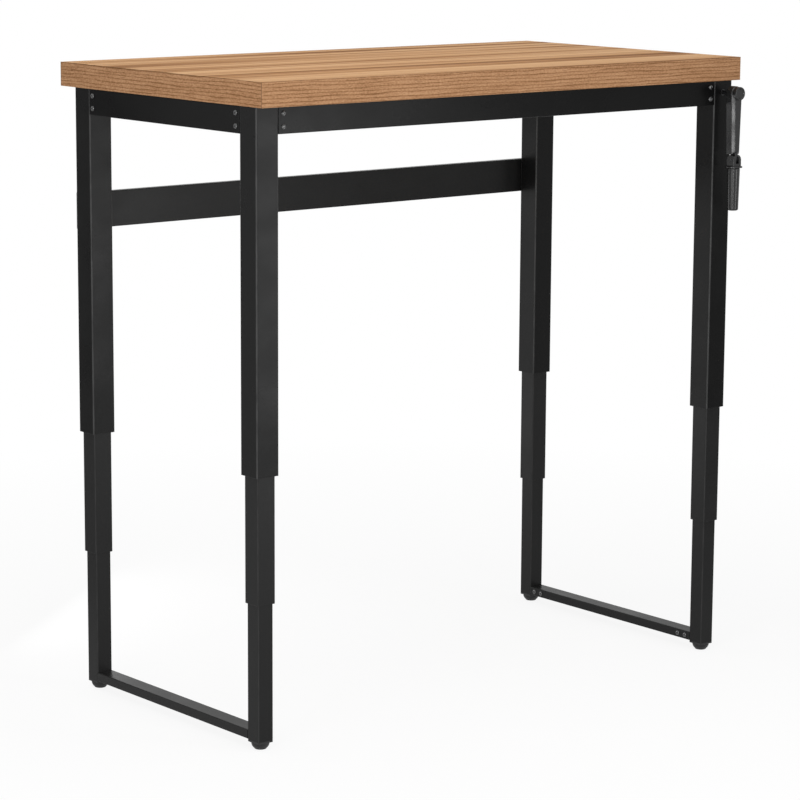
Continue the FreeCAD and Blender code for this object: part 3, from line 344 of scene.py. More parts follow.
# %% Grey cards
def grey_card(name, place, turn, width, height, tone):
    """A standing card that darkens what one face of the desk mirrors."""
    shape = bmesh.new()
    bmesh.ops.create_grid(shape, x_segments=1, y_segments=1, size=0.5)
    bmesh.ops.scale(shape, vec=(width, height, 1.0), verts=shape.verts)
    card = linked_object(name, shape)
    upright = Matrix.Rotation(math.pi / 2, 4, "X")
    card.matrix_world = Matrix.Translation(place) @ Matrix.Rotation(turn, 4, "Z") @ upright
    for kind in ("camera", "diffuse", "transmission", "shadow"):
        setattr(card, "visible_" + kind, False)
    finish, tree, _ = new_finish(name)
    glow = add_node(tree, "ShaderNodeEmission")
    glow.inputs["Strength"].default_value = tone
    tree.links.new(glow.outputs["Emission"], tree.nodes["Material Output"].inputs["Surface"])
    card.data.materials.append(finish)


grey_card("left_card", (-0.95, 0.75, 0.65), math.pi / 2, width=0.40, height=1.3, tone=0.22)
grey_card("right_card", (1.0, -0.75, 0.45), 0.0, width=0.34, height=0.9, tone=0.3)
print("grey cards for two faces")

# %% [markdown]
# ## Powder coat
# The frame is sprayed with black powder and baked. Close up it has a fine orange-peel skin and a satin gloss
# that wanders a little, and its corners carry a painted highlight. The skin is a small bump, the gloss a
# slow noise on the roughness, and the painted highlight a lift in tone, in patches, where a tube's rounded
# edge turns from one side to the next and along hard edges. The aprons wear the deepest black, the outer
# tubes a little less, and the sliding tubes, rails and crossbar a greyer, flatter coat.

# %% Powder coats
def powder_coat(name, dark, light, corner_highlight_tone, gloss, shine):
    """Baked black powder with a fine skin and a painted highlight on its corners."""
    finish, tree, shader = new_finish(name)
    speckle = noise(tree, (900, 900, 900), detail=2.0)
    black = tones(tree, speckle, (0.35, dark), (0.65, light))
    rounded, edge = eased_edges(tree, radius=0.0012)
    facing = add_node(tree, "ShaderNodeTexCoord").outputs["Normal"]
    sideways = add_node(tree, "ShaderNodeSeparateXYZ")
    tree.links.new(facing, sideways.inputs["Vector"])
    # The corners get a painted highlight: the tone is lifted, in patches, where a tube's side turns into the
    # next and along hard edges.
    corner = calc(tree, "MULTIPLY", sideways.outputs["X"], sideways.outputs["Y"])
    bend = calc(tree, "ABSOLUTE", corner)
    patchy = tones(tree, noise(tree, (60, 60, 25), detail=3.0), (0.3, 0.55), (0.6, 1.0))
    painted_corner_highlight = calc(tree, "MULTIPLY", sum_of(tree, (bend, 2.2), (edge, 0.5)), patchy)
    coat = blend_tones(tree, painted_corner_highlight, black, (corner_highlight_tone, corner_highlight_tone, corner_highlight_tone))
    satin = noise(tree, (9, 9, 14), detail=4.0)
    coat_with(tree, shader, coat, tones(tree, satin, (0.3, gloss - 0.05), (0.7, gloss + 0.04)))
    shader.inputs["Specular IOR Level"].default_value = shine
    peel = noise(tree, (650, 650, 650), detail=1.0)
    relief(tree, shader, peel, depth=0.00008, strength=0.4, base_normal=rounded)
    print("finish", finish.name)
    return finish


apron_powder = powder_coat(
    "apron_powder_coat", dark=0.0029, light=0.0051, corner_highlight_tone=0.05, gloss=0.29, shine=0.07
)
leg_powder = powder_coat(
    "leg_powder_coat", dark=0.0052, light=0.0080, corner_highlight_tone=0.055, gloss=0.30, shine=0.08
)
slide_powder = powder_coat(
    "slide_powder_coat", dark=0.0095, light=0.0140, corner_highlight_tone=0.03, gloss=0.36, shine=0.105
)

# %% [markdown]
# ## Grain
# Wood grain is drawn out along one axis and tight across it. Noise does for streaks and pores once its
# mapping is stretched, and a wave whose lines wander does for the lines between the bands. Every wood of the
# desk ends the same way: dark pores on top, and a gloss and a slight relief that follow the grain.

# %% Helpers for grain
pore_brown = (0.13, 0.062, 0.028)
wood_shine = 0.006
grain_depth = 0.0002
waves_in_one = 20 / math.tau  # how often Blender's wave repeats in one unit


def drawn_out(tree, along, shift, length_wise, cross_wise, **more):
    """Noise stretched along the grain, with its repeats in a metre."""
    size = [cross_wise] * 3
    size["xyz".index(along)] = length_wise
    return noise(tree, tuple(size), shift=shift, **more)


def grain_lines(tree, along, across, shift, length_wise, cross_wise, wander, profile):
    """A wave across the grain whose lines wander along it, with its repeats in a metre."""
    size = [1.0, 1.0, 1.0]
    size["xyz".index(along)] = length_wise
    size["xyz".index(across)] = cross_wise / waves_in_one
    wave = add_node(tree, "ShaderNodeTexWave", bands_direction=across.upper(), wave_profile=profile)
    wave.inputs["Scale"].default_value = 1.0
    wave.inputs["Distortion"].default_value = wander
    wave.inputs["Detail"].default_value = 2.0
    wave.inputs["Detail Scale"].default_value = 1.5
    tree.links.new(stretched_place(tree, size, shift), wave.inputs["Vector"])
    return wave.outputs["Fac"]


def pores_and_sheen(tree, shader, colour, dash, hair, depth_of_tone, gloss):
    """Lays dark pores over a grain colour, and lets gloss and relief follow the grain."""
    dotted = blend_tones(tree, sum_of(tree, (dash, depth_of_tone)), colour, pore_brown)
    coat_with(tree, shader, dotted, tones(tree, hair, (0.3, gloss - 0.06), (0.7, gloss + 0.08)))
    shader.inputs["Specular IOR Level"].default_value = wood_shine
    ridges = sum_of(tree, (hair, 0.6), (dash, -0.5))
    relief(tree, shader, ridges, depth=grain_depth, strength=0.35)


print("helpers for grain")

# %% [markdown]
# ## Wood of the top
# The top is a laminate printed like straight-cut walnut. Broad bands run the length of the desk: each starts
# at a thin dark line and fades away from it, which is just what a saw-tooth wave does when it is drawn out
# along the grain and left to wander. Finer streaks and hair lines are noise stretched the same way, and
# short dark pores lie on top.

# %% Wood of the top
top_wood, tree, shader = new_finish("top_wood")
plank = (0.3, 1.7, 0.0)
band_start, line_start = (0.0, 0.4, 0.0), (2.0, 1.1, 0.0)
saw = grain_lines(tree, "x", "y", band_start, 0.07, 6.5, wander=8.0, profile="SAW")
wide = tones(tree, saw, (0.0, 0.1), (0.03, 0.35), (0.2, 0.78), (0.75, 1.0), (1.0, 0.7))
saw = grain_lines(tree, "x", "y", line_start, 0.12, 16.0, wander=9.0, profile="SAW")
narrow = tones(tree, saw, (0.0, 0.0), (0.08, 0.5), (0.45, 0.95), (1.0, 0.8))
faded = drawn_out(tree, "x", plank, 0.7, 9.0, detail=2.0)
strength = tones(tree, faded, (0.35, 0.35), (0.6, 1.0))
lines = blend_tones(tree, strength, (1.0, 1.0, 1.0), blend_tones(tree, 0.5, wide, narrow))
streak = drawn_out(tree, "x", plank, 0.55, 40.0, detail=5.0, rough=0.62)
fine = drawn_out(tree, "x", plank, 0.8, 130.0, detail=3.0, rough=0.6)
hair = drawn_out(tree, "x", plank, 5.0, 440.0, detail=3.0, rough=0.6)
slow = drawn_out(tree, "x", plank, 0.5, 6.0, detail=2.0)
figure = sum_of(tree, (lines, 0.49), (streak, 0.42), (fine, 0.23), (hair, 0.07), (slow, 0.175))
browns = tones(
    tree, figure, (0.675, (0.155, 0.063, 0.020)), (0.775, (0.275, 0.130, 0.047)),
    (0.84, (0.420, 0.222, 0.098)), (0.88, (0.505, 0.288, 0.140)), (0.95, (0.600, 0.368, 0.194)),
)
dash = tones(tree, drawn_out(tree, "x", plank, 26.0, 560.0, detail=1.0), (0.66, 0.0), (0.73, 1.0))
pores_and_sheen(tree, shader, browns, dash, hair, depth_of_tone=0.35, gloss=0.5)
print("finish", top_wood.name)

# %% [markdown]
# ## Wood of the edges
# The edge strips are a darker sheet cut from another plank. Their grain is much tighter: long dark lines,
# a few millimetres apart, that waver and fade in places, with a fine speckle and many pores between them.
# The same recipe serves the long edges and the short ones, with the grain along X or along Y.

# %% Wood of the edge strips
def edge_wood(name, along, shift):
    """Tight, broken grain lines along an axis."""
    finish, tree, shader = new_finish(name)
    wave = grain_lines(tree, along, "z", shift, 4.5, 150.0, wander=4.5, profile="SIN")
    lines = tones(tree, wave, (0.0, 0.0), (0.06, 0.5), (0.22, 0.92), (1.0, 1.0))
    broken = drawn_out(tree, along, shift, 16.0, 230.0, detail=3.0)
    hair = drawn_out(tree, along, shift, 210.0, 420.0, detail=2.0, rough=0.6)
    slow = drawn_out(tree, along, shift, 5.0, 30.0, detail=2.0)
    figure = sum_of(tree, (lines, 0.19), (broken, 0.19), (hair, 0.38), (slow, 0.12))
    browns = tones(
        tree, figure, (0.32, (0.180, 0.086, 0.038)), (0.43, (0.266, 0.134, 0.064)),
        (0.52, (0.378, 0.203, 0.103)), (0.62, (0.458, 0.262, 0.142)),
    )
    specks = drawn_out(tree, along, shift, 60.0, 700.0, detail=1.0)
    dash = tones(tree, specks, (0.60, 0.0), (0.67, 1.0))
    pores_and_sheen(tree, shader, browns, dash, hair, depth_of_tone=0.4, gloss=0.55)
    print("finish", finish.name)
    return finish


long_edge_wood = edge_wood("long_edge_wood", "x", (4.1, 0.4, 2.2))
short_edge_wood = edge_wood("short_edge_wood", "y", (1.3, 7.9, 5.2))

# %% [markdown]
# ## The core of the top
# Under the laminate is a particle board with a plain backing sheet, which shows only from below. The backing
# is a warm grey-brown paper with faint mottling, and the dark line where sheet meets strip is the resin of
# the laminate's cut edge.

# %% Board and resin edge
board, tree, shader = new_finish("backing_board")
chips = add_node(tree, "ShaderNodeTexVoronoi")
chips.inputs["Scale"].default_value = 220.0
tree.links.new(place_on_desk(tree), chips.inputs["Vector"])
fibres = noise(tree, (30, 60, 60), detail=5.0)
mottle = sum_of(tree, (chips.outputs["Distance"], 0.35), (fibres, 0.75))
tan = tones(
    tree, mottle, (0.3, (0.26, 0.18, 0.11)), (0.55, (0.36, 0.26, 0.165)), (0.8, (0.43, 0.32, 0.21))
)
coat_with(tree, shader, tan, tones(tree, mottle, (0.3, 0.7), (0.8, 0.85)))
shader.inputs["Specular IOR Level"].default_value = 0.2
relief(tree, shader, mottle, depth=0.0002, strength=0.4)

resin, tree, shader = new_finish("resin_edge")
layers = noise(tree, (40, 40, 5000), detail=2.0)
dark_brown = tones(tree, layers, (0.35, (0.10, 0.048, 0.020)), (0.7, (0.17, 0.085, 0.038)))
coat_with(tree, shader, dark_brown, tones(tree, layers, (0.3, 0.5), (0.7, 0.7)))
shader.inputs["Specular IOR Level"].default_value = 0.2
relief(tree, shader, layers, depth=0.00005, strength=0.3)
print("finishes", board.name, resin.name)

# %% [markdown]
# ## Plastics
# The crank is moulded in glossy black nylon, with a skin that is almost smooth; the feet, plugs and end caps
# are a duller moulding with a spark-eroded grain; the guides inside the tubes and the crank's pinion are a
# slick grey-black acetal. All three are one recipe with a different grain and gloss.

# %% Moulded plastics
def moulded(name, dark, light, grain, depth, gloss, shine):
    """A moulded plastic with a fine skin, soft edges and a gloss that wanders."""
    finish, tree, shader = new_finish(name)
    skin = noise(tree, (grain, grain, grain), detail=2.0)
    tone = tones(tree, skin, (0.35, dark), (0.65, light))
    rounded, edge = eased_edges(tree, radius=0.0006)
    pale = tuple(3.0 * part for part in light)
    rubbed = blend_tones(tree, sum_of(tree, (edge, 0.4)), tone, pale)
    wander = noise(tree, (30, 30, 30))
    coat_with(tree, shader, rubbed, tones(tree, wander, (0.3, gloss - 0.05), (0.7, gloss + 0.07)))
    shader.inputs["Specular IOR Level"].default_value = shine
    relief(tree, shader, skin, depth, strength=0.5, base_normal=rounded)
    print("finish", finish.name)
    return finish


nylon_tones = (0.008, 0.008, 0.0083), (0.013, 0.013, 0.0134)
foot_tones = (0.008, 0.008, 0.008), (0.014, 0.014, 0.014)
acetal_tones = (0.02, 0.02, 0.021), (0.03, 0.03, 0.031)
crank_black = moulded("crank_nylon", *nylon_tones, grain=1500, depth=0.00003, gloss=0.25, shine=0.34)
foot_black = moulded("foot_plastic", *foot_tones, grain=2200, depth=0.00008, gloss=0.5, shine=0.3)
guide_grey = moulded("guide_acetal", *acetal_tones, grain=900, depth=0.00003, gloss=0.38, shine=0.4)

# %% [markdown]
# ## Metals
# Inside the legs are turned steel screws and shafts, zinc castings and bronze nuts. Turned steel has fine
# rings round its axis, a casting has a sandy skin, and bronze darkens in patches. The bolts are blackened
# steel that is polished where a key has turned in it.

# %% Metals
def metal(name, dark, light, stretch, gloss, depth):
    """A metal whose tone, gloss and relief follow one stretched noise."""
    finish, tree, shader = new_finish(name)
    marks = noise(tree, stretch, detail=4.0, rough=0.6)
    rounded, edge = eased_edges(tree, radius=0.0005)
    tone = tones(tree, marks, (0.3, dark), (0.7, light))
    pale = tuple(min(1.0, 1.35 * part) for part in light)
    bright = blend_tones(tree, sum_of(tree, (edge, 0.35)), tone, pale)
    coat_with(tree, shader, bright, tones(tree, marks, (0.3, gloss + 0.1), (0.7, gloss)))
    shader.inputs["Metallic"].default_value = 1.0
    relief(tree, shader, marks, depth, strength=0.5, base_normal=rounded)
    print("finish", finish.name)
    return finish


steel_tones = (0.42, 0.42, 0.43), (0.58, 0.58, 0.585)
zinc_tones = (0.38, 0.38, 0.39), (0.56, 0.56, 0.57)
bronze_tones = (0.42, 0.27, 0.10), (0.64, 0.44, 0.19)
turned_steel = metal("turned_steel", *steel_tones, stretch=(30, 30, 1800), gloss=0.3, depth=0.00002)
cast_zinc = metal("cast_zinc", *zinc_tones, stretch=(500, 500, 500), gloss=0.5, depth=0.0001)
nut_bronze = metal("nut_bronze", *bronze_tones, stretch=(120, 120, 400), gloss=0.32, depth=0.00004)

bolt_black, tree, shader = new_finish("blackened_bolt")
marks = noise(tree, (700, 700, 700), detail=3.0)
rounded, edge = eased_edges(tree, radius=0.0003)
oxide = tones(tree, marks, (0.35, (0.007, 0.007, 0.0075)), (0.7, (0.013, 0.013, 0.014)))
keyed = blend_tones(tree, sum_of(tree, (edge, 0.25)), oxide, (0.16, 0.16, 0.165))
coat_with(tree, shader, keyed, tones(tree, marks, (0.3, 0.11), (0.7, 0.19)))
shader.inputs["Specular IOR Level"].default_value = 1.0
relief(tree, shader, marks, depth=0.00002, strength=0.4, base_normal=rounded)
print("finish", bolt_black.name)

# %% [markdown]
# ## Which part gets which finish
# The CAD parts keep their shapes, and only their material changes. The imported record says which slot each
# part belongs to, but a part's own name says it just as plainly, so the start of the name chooses, and the
# longest start that fits is the one that counts.

# %% Finish the CAD parts
finish_rows = (
    (apron_powder, "front_apron rear_apron left_apron right_apron apron_brackets"),
    (leg_powder, "outer_tube"),
    (slide_powder, "middle_tube inner_tube foot_rail rail_spigots crossbar"),
    (foot_black, "crossbar_pads crossbar_caps end_plugs levelling_foot"),
    (guide_grey, "leg_guides middle_guides crank_pinion"),
    (crank_black, "crank_arm grip_link crank_grip"),
    (turned_steel, "lead_screw drive_shaft"),
    (cast_zinc, "gear_housings"),
    (nut_bronze, "lift_nuts"),
    (bolt_black, "crank_shaft grip_pin top_screws apron_bolts rail_bolts crossbar_bolts"),
    (board, "tabletop_board"),
    (top_wood, "tabletop_laminate"),
    (long_edge_wood, "tabletop_edging"),
)
finish_of = {start: finish for finish, starts in finish_rows for start in starts.split()}
for name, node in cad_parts.items():
    longest = max((start for start in finish_of if name.startswith(start)), key=len)
    node.data.materials.clear()
    node.data.materials.append(finish_of[longest])
print("finished", len(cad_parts), "CAD parts")

# %% [markdown]
# ## Making a piece
# Every new piece goes the same way from a bmesh to a finished object. It is shaded smooth with its hard
# edges kept, it rides on one of the desk's moving bodies, and the CAD parts that it stands for are hidden.
# Weighted normals keep the flat faces flat beside their eased edges.

# %% Helpers for pieces
sharp_edge = math.radians(40)


def make_piece(name, shape, body, finishes, slot, *nodes):
    """Turns a bmesh into a piece that rides on a body and stands for CAD parts."""
    piece = linked_object(name, shape)
    piece.data.shade_smooth()
    piece.data.set_sharp_from_angle(angle=sharp_edge)
    for finish in finishes:
        piece.data.materials.append(finish)
    piece.modifiers.new("level_shading", "WEIGHTED_NORMAL").keep_sharp = True
    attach(piece, body)
    if nodes:
        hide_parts(*nodes)
    print("piece", name, len(piece.data.polygons), "faces")


def bevel_edges(shape, edges, width, steps):
    """Cuts edges off at a slant in one step, or rounds them in several."""
    bmesh.ops.bevel(
        shape, geom=edges, offset=width, affect="EDGES", segments=steps, profile=0.5, material=-1,
        clamp_overlap=True,
    )


def push_out(shape, faces, by):
    """Extrudes faces and moves the new ones."""
    grown = bmesh.ops.extrude_face_region(shape, geom=faces)["geom"]
    points = [part for part in grown if isinstance(part, bmesh.types.BMVert)]
    bmesh.ops.translate(shape, vec=by, verts=points)


print("helpers for pieces")

# %% [markdown]
# ## The laminate sheet
# The top face is one thin sheet, trimmed flush and eased with a file so that it doesn't cut a sleeve. A cube
# stretched to the sheet's box and bevelled all round gives that with nothing but operators. Its side shows
# the dark resin of the cut, so the faces that look sideways take the second finish.

# %% Top sheet
def eased_bar(low, high, ease):
    """A bar between two corners, with every edge eased."""
    shape = bmesh.new()
    bmesh.ops.create_cube(shape, size=1.0)
    bmesh.ops.scale(shape, vec=high - low, verts=shape.verts)
    bmesh.ops.translate(shape, vec=(low + high) / 2, verts=shape.verts)
    bevel_edges(shape, shape.edges[:], ease, steps=3)
    bmesh.ops.recalc_face_normals(shape, faces=shape.faces)
    return shape


sheet_ease = 0.0003
low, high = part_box("tabletop_laminate")
sheet = eased_bar(low, high, sheet_ease)
for face in sheet.faces:
    face.material_index = 0 if abs(face.normal.z) > 0.5 else 1
make_piece("top_sheet", sheet, "top", (top_wood, resin), "wood_top", "tabletop_laminate")

# %% [markdown]
# ## The edge strips
# Four strips of the same laminate close the edges. The front and rear ones run the whole length and cover
# the ends of the side ones, so a strip's dark cut end shows as a thin line at each corner. They are four
# bars with eased edges, and the grain of each runs along it.

# %% Edge strips
strip = 0.0015
strip_ease = 0.0005
low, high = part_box("tabletop_edging")
front, rear = low.y + strip, high.y - strip
strip_boxes = {
    "front": (low, Vector((high.x, front, high.z))),
    "rear": (Vector((low.x, rear, low.z)), high),
    "left": (Vector((low.x, front, low.z)), Vector((low.x + strip, rear, high.z))),
    "right": (Vector((high.x - strip, front, low.z)), Vector((high.x, rear, high.z))),
}
for side, (start, end) in strip_boxes.items():
    bar = eased_bar(start, end, strip_ease)
    runs_long = side in ("front", "rear")
    for face in bar.faces:
        face.material_index = 1 if runs_long and abs(face.normal.x) > 0.3 else 0
    wood = long_edge_wood if runs_long else short_edge_wood
    make_piece(f"edge_strip_{side}", bar, "top", (wood, resin), "wood_edge", "tabletop_edging")

# %% [markdown]
# ## One bolt
# The aprons, the rails and the crossbar are held by small button-headed bolts with a hexagon socket. One
# bolt is enough to model: a circle is extruded ring by ring over the dome, bridged to a hexagon, and the
# hexagon is pushed down to make the socket. The shank goes down from the seat and ends in a short taper.

# %% One bolt
head_radius, head_rise = 0.0050, 0.0024
key_radius = 0.0018
shank_radius = 0.0025
dome_steps = ((0.965, 0.18), (0.93, 0.18), (0.86, 0.17), (0.78, 0.12), (0.72, 0.07))


def ring_up(shape, ring, factor, rise):
    """Extrudes a ring of edges, scales the new ring about the axis and lifts it."""
    grown = bmesh.ops.extrude_edge_only(shape, edges=ring)["geom"]
    points = [part for part in grown if isinstance(part, bmesh.types.BMVert)]
    bmesh.ops.scale(shape, vec=(factor, factor, 1.0), verts=points)
    bmesh.ops.translate(shape, vec=(0, 0, rise), verts=points)
    return [part for part in grown if isinstance(part, bmesh.types.BMEdge)]


def button_bolt(reach):
    """A bolt whose head sits on the origin and points up, with a shank of some reach."""
    shape = bmesh.new()
    bmesh.ops.create_circle(shape, segments=24, radius=head_radius)
    seat = shape.edges[:]
    ring = ring_up(shape, seat, 1.0, head_rise * 0.22)
    for factor, share in dome_steps:
        ring = ring_up(shape, ring, factor, head_rise * share)
    before = set(shape.edges)
    near_crown = Matrix.Translation((0, 0, head_rise * 0.98))
    bmesh.ops.create_circle(shape, segments=6, radius=key_radius, matrix=near_crown)
    hexagon = [edge for edge in shape.edges if edge not in before]
    bmesh.ops.bridge_loops(shape, edges=ring + hexagon)
    floor_ring = ring_up(shape, hexagon, 1.0, -head_rise * 0.62)
    bmesh.ops.holes_fill(shape, edges=floor_ring, sides=6)
    neck = ring_up(shape, seat, shank_radius / head_radius, 0.0)
    end = ring_up(shape, neck, 1.0, -reach)
    tip = ring_up(shape, end, 0.8, -shank_radius * 0.2)
    bmesh.ops.holes_fill(shape, edges=tip, sides=24)
    bmesh.ops.recalc_face_normals(shape, faces=shape.faces)
    return shape


print("bolt", 2000 * head_radius, "mm across its head")

# %% [markdown]
# ## Bolts of the aprons
# Every other bolt is a copy that is turned to face outward and set on its seat. All the bolts that hold one
# kind of part make one piece. Each apron has a pair of them at either end, one above the other, in from its
# end by the same amount.

# %% Bolts of the aprons
def set_of_bolts(name, reach, seats, body, *nodes):
    """Copies of one bolt, each given by its seat and the way its head points."""
    pattern = button_bolt(reach)
    template = bpy.data.meshes.new(name + "_pattern")
    pattern.to_mesh(template)
    pattern.free()
    shape = bmesh.new()
    for seat, outward in seats:
        count = len(shape.verts)
        shape.from_mesh(template)
        shape.verts.ensure_lookup_table()
        turn = Vector(outward).to_track_quat("Z", "Y").to_matrix().to_4x4()
        bmesh.ops.transform(shape, matrix=Matrix.Translation(seat) @ turn, verts=shape.verts[count:])
    bpy.data.meshes.remove(template)
    make_piece(name, shape, body, (bolt_black,), "black_bolts", *nodes)


apron_reach = 0.005
bolt_inset = 0.011
bolt_levels = (1.172, 1.148)
apron_seats = []
for apron, outward in (("front_apron", (0, -1, 0)), ("rear_apron", (0, 1, 0))):
    low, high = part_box(apron)
    face_y = low.y if outward[1] < 0 else high.y
    for x in (low.x + bolt_inset, high.x - bolt_inset):
        apron_seats += [((x, face_y, z), outward) for z in bolt_levels]
for apron, outward in (("left_apron", (-1, 0, 0)), ("right_apron", (1, 0, 0))):
    low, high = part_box(apron)
    face_x = low.x if outward[0] < 0 else high.x
    for y in (low.y + bolt_inset, high.y - bolt_inset):
        apron_seats += [((face_x, y, z), outward) for z in bolt_levels]
set_of_bolts("apron_button_bolts", apron_reach, apron_seats, "top", "apron_bolts")

# %% [markdown]
# ## Bolts of the rails and the crossbar, and screws of the top
# The rails' bolts are on their inward sides, two at each end. The crossbar's are behind, over the rear legs.
# The top is held from below by screws through the aprons' flanges, with the same heads and longer shanks.

# %% Bolts of the rails and the crossbar
rail_reach, bar_reach = 0.011, 0.017
end_insets = (0.013, 0.034)
for side, body, inward in (("left", "base_left", 1), ("right", "base_right", -1)):
    low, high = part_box(f"foot_rail_{side}")
    face_x = high.x if inward > 0 else low.x
    level = (low.z + high.z) / 2
    spots = [low.y + inset for inset in end_insets] + [high.y - inset for inset in end_insets]
    rail_seats = [((face_x, y, level), (inward, 0, 0)) for y in spots]
    set_of_bolts(f"rail_button_bolts_{side}", rail_reach, rail_seats, body, f"rail_bolts_{side}")

leg_middle = 0.5725
half_spread = 0.018
low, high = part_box("crossbar")
bar_level = (low.z + high.z) / 2
bar_levels = (bar_level - half_spread, bar_level + half_spread)
bar_seats = [((x, high.y, z), (0, 1, 0)) for x in (-leg_middle, leg_middle) for z in bar_levels]
set_of_bolts("crossbar_button_bolts", bar_reach, bar_seats, "top", "crossbar_bolts")

# %% Screws of the top
screw_reach = 0.0274
screw_inset = 0.005
long_places = (-0.4275, 0.0, 0.4275)
short_places = (-0.118, 0.002, 0.122)
low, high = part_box("top_screws")
flange_under = low.z + head_rise
rows = (low.y + screw_inset, high.y - screw_inset)
columns = (low.x + screw_inset, high.x - screw_inset)
screw_spots = [(x, y) for x in long_places for y in rows]
screw_spots += [(x, y) for x in columns for y in short_places]
screw_seats = [((x, y, flange_under), (0, 0, -1)) for x, y in screw_spots]
set_of_bolts("top_button_screws", screw_reach, screw_seats, "top", "top_screws")

# %% [markdown]
# ## The crank arm
# The arm is one moulding: a tapered bar that is round over the hub, with a dished boss on the hub and a
# tongue for the fold joint at its end. Its front edges are cut off at a slant, and that flat catches the
# light as a bright streak, where a rounded edge would show only a thin line. So the outline is spun and
# extruded, the front rim is bevelled wide with one segment, and whatever is still sharp is then eased.

# %% Crank arm
boss_rise = 0.0055
end_half, end_drop = 0.011, 0.122
slant = 0.0055
back_ease, last_ease = 0.003, 0.001
still_sharp = math.radians(30)
touching = 1e-6


def rim_at(shape, level):
    """The edges that lie in the plane at one distance from front to back."""
    return [
        edge for edge in shape.edges if all(abs(end.co.y - level) < touching for end in edge.verts)
    ]


low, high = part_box("crank_arm")
hub_radius = (high.x - low.x) / 2
hub = Vector(((low.x + high.x) / 2, high.y, high.z - hub_radius))
arm_front = low.y + boss_rise

arm = bmesh.new()
start = arm.verts.new(hub + Vector((hub_radius, 0, 0)))
arc = bmesh.ops.spin(arm, geom=[start], cent=hub, axis=(0, -1, 0), angle=math.pi, steps=32)
arc_end = arc["geom_last"][0]
left_end = arm.verts.new(hub + Vector((-end_half, 0, -end_drop)))
right_end = arm.verts.new(hub + Vector((end_half, 0, -end_drop)))
for first, second in ((arc_end, left_end), (left_end, right_end), (right_end, start)):
    arm.edges.new((first, second))
outline = bmesh.ops.contextual_create(arm, geom=arm.edges[:])["faces"]
push_out(arm, outline, (0, arm_front - high.y, 0))
bmesh.ops.recalc_face_normals(arm, faces=arm.faces)
bevel_edges(arm, rim_at(arm, arm_front), slant, steps=1)
bevel_edges(arm, rim_at(arm, high.y), back_ease, steps=4)
sharp_rest = [edge for edge in arm.edges if edge.calc_face_angle(0.0) > still_sharp]
bevel_edges(arm, sharp_rest, last_ease, steps=3)
print("arm", len(arm.faces), "faces")

# %% [markdown]
# ## Boss and tongue
# The boss is a short cylinder that starts inside the arm. Two insets in its cap make a flat rim and a dish,
# and the outer rim is rounded. The tongue is drawn from the side, as a circle whose upper half is moved up
# to the arm's end. It is bridged to a circle for the pin's hole and extruded across.

# %% Boss of the crank arm
boss_radius, boss_root = 0.0135, 0.006
dish_rim, dish_depth = 0.0024, 0.0025
boss_ease = 0.0015
boss_length = boss_rise + boss_root
boss_place = Matrix.Translation((hub.x, low.y + boss_length / 2, hub.z))
bmesh.ops.create_cone(
    arm, cap_ends=True, segments=64, radius1=boss_radius, radius2=boss_radius, depth=boss_length,
    matrix=boss_place @ Matrix.Rotation(math.pi / 2, 4, "X"),
)
facing_front = [face for face in arm.faces if face.normal.y < -0.9]
cap = next(face for face in facing_front if abs(face.calc_center_median().y - low.y) < touching)
bmesh.ops.inset_individual(arm, faces=[cap], thickness=dish_rim)
bmesh.ops.inset_individual(arm, faces=[cap], thickness=dish_depth, depth=-dish_depth)
outer_rim = [
    edge for edge in rim_at(arm, low.y)
    if all((end.co - hub).xz.length > boss_radius - 10 * touching for end in edge.verts)
]
bevel_edges(arm, outer_rim, boss_ease, steps=4)
print("arm with boss", len(arm.faces), "faces")

# %% Tongue of the crank arm
tongue_radius, tongue_width = 0.0065, 0.008
pin_play = 0.0002
pin_low, pin_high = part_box("grip_pin")
pivot = (pin_low + pin_high) / 2
hole_radius = (pin_high.z - pin_low.z) / 2 + pin_play
one_side = Matrix.Translation(pivot - Vector((tongue_width / 2, 0, 0)))
beside = one_side @ Matrix.Rotation(math.pi / 2, 4, "Y")
hole = bmesh.ops.create_circle(arm, segments=32, radius=hole_radius, matrix=beside)["verts"]
tip = bmesh.ops.create_circle(arm, segments=32, radius=tongue_radius, matrix=beside)["verts"]
loops = {edge for point in hole + tip for edge in point.link_edges}
upper = [point for point in tip if point.co.z > pivot.z + touching]
bmesh.ops.translate(arm, vec=(0, 0, hub.z - end_drop - pivot.z), verts=upper)
side_face = bmesh.ops.bridge_loops(arm, edges=list(loops))["faces"]
push_out(arm, side_face, (tongue_width, 0, 0))
bmesh.ops.recalc_face_normals(arm, faces=arm.faces)
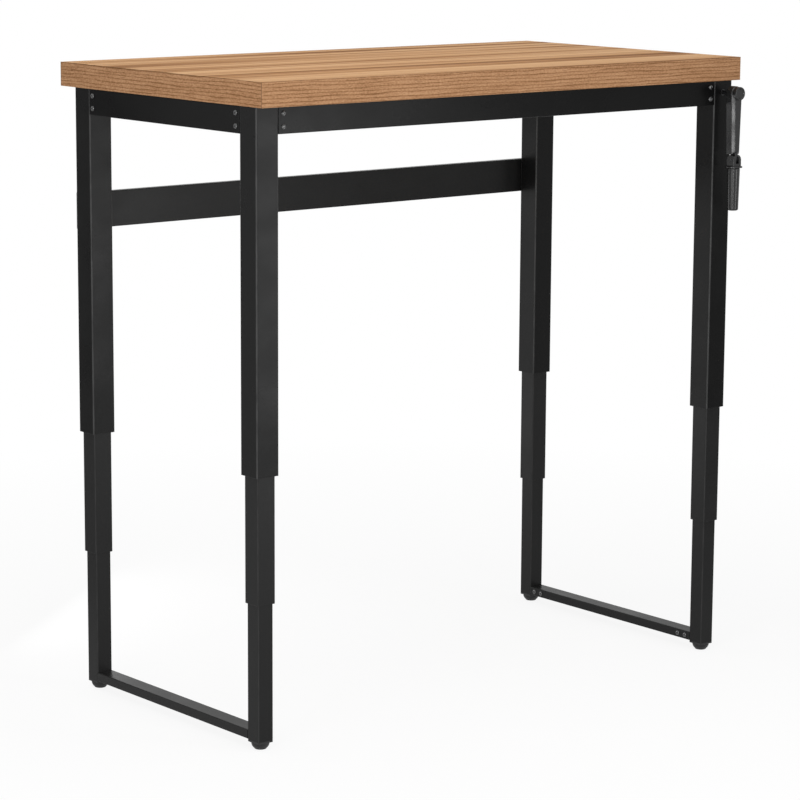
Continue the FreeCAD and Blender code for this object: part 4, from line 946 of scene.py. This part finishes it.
make_piece("moulded_crank_arm", arm, "crank", (crank_black,), "crank_plastic", "crank_arm")

# %% [markdown]
# ## Levelling feet
# Each leg stands on a small moulded foot that screws in and out. Its outline is a straight band at the top,
# a convex flank and a thin lip above the sole. A profile of a few points, spun once round the leg's axis, is
# the whole shape. The stud that goes up into the plug has a fine thread, which is a row of rings here.

# %% Profile of a foot
thread_turns, thread_start, thread_pitch = 20, 0.0136, 0.00115
thread_crest, thread_root, crest_to_root = 0.0040, 0.0034, 0.00055
foot_profile = [
    (0.0, 0.0), (0.0102, 0.0), (0.0110, 0.0003), (0.0114, 0.0009), (0.0114, 0.0016), (0.0119, 0.0018),
    (0.0127, 0.0024), (0.0142, 0.0040), (0.0155, 0.0060), (0.0164, 0.0080), (0.0169, 0.0098),
    (0.0170, 0.0108), (0.0170, 0.0125), (0.0167, 0.0129), (0.0160, 0.0130), (thread_crest, 0.0130),
]
for ring in range(thread_turns):
    level = thread_start + thread_pitch * ring
    foot_profile += [(thread_crest, level), (thread_root, level + crest_to_root)]
foot_profile += [(0.0036, 0.0366), (0.0, 0.0370)]
print("foot profile", len(foot_profile), "points")

# %% Four feet
def turned(profile, axis_x, axis_y):
    """Spins a profile of radius and height pairs round an upright axis."""
    shape = bmesh.new()
    points = [shape.verts.new((axis_x + radius, axis_y, height)) for radius, height in profile]
    lines = [shape.edges.new(pair) for pair in zip(points, points[1:])]
    bmesh.ops.spin(
        shape, geom=points + lines, cent=(axis_x, axis_y, 0), axis=(0, 0, 1), angle=math.tau,
        steps=48, use_merge=True, use_duplicate=False,
    )
    bmesh.ops.remove_doubles(shape, verts=shape.verts, dist=touching)
    bmesh.ops.recalc_face_normals(shape, faces=shape.faces)
    return shape


for leg in ("front_left", "front_right", "rear_left", "rear_right"):
    foot_node = f"levelling_foot_{leg}"
    low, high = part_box(foot_node)
    pad = turned(foot_profile, (low.x + high.x) / 2, (low.y + high.y) / 2)
    make_piece(f"foot_pad_{leg}", pad, f"foot_{leg}", (foot_black,), "black_plastic", foot_node)
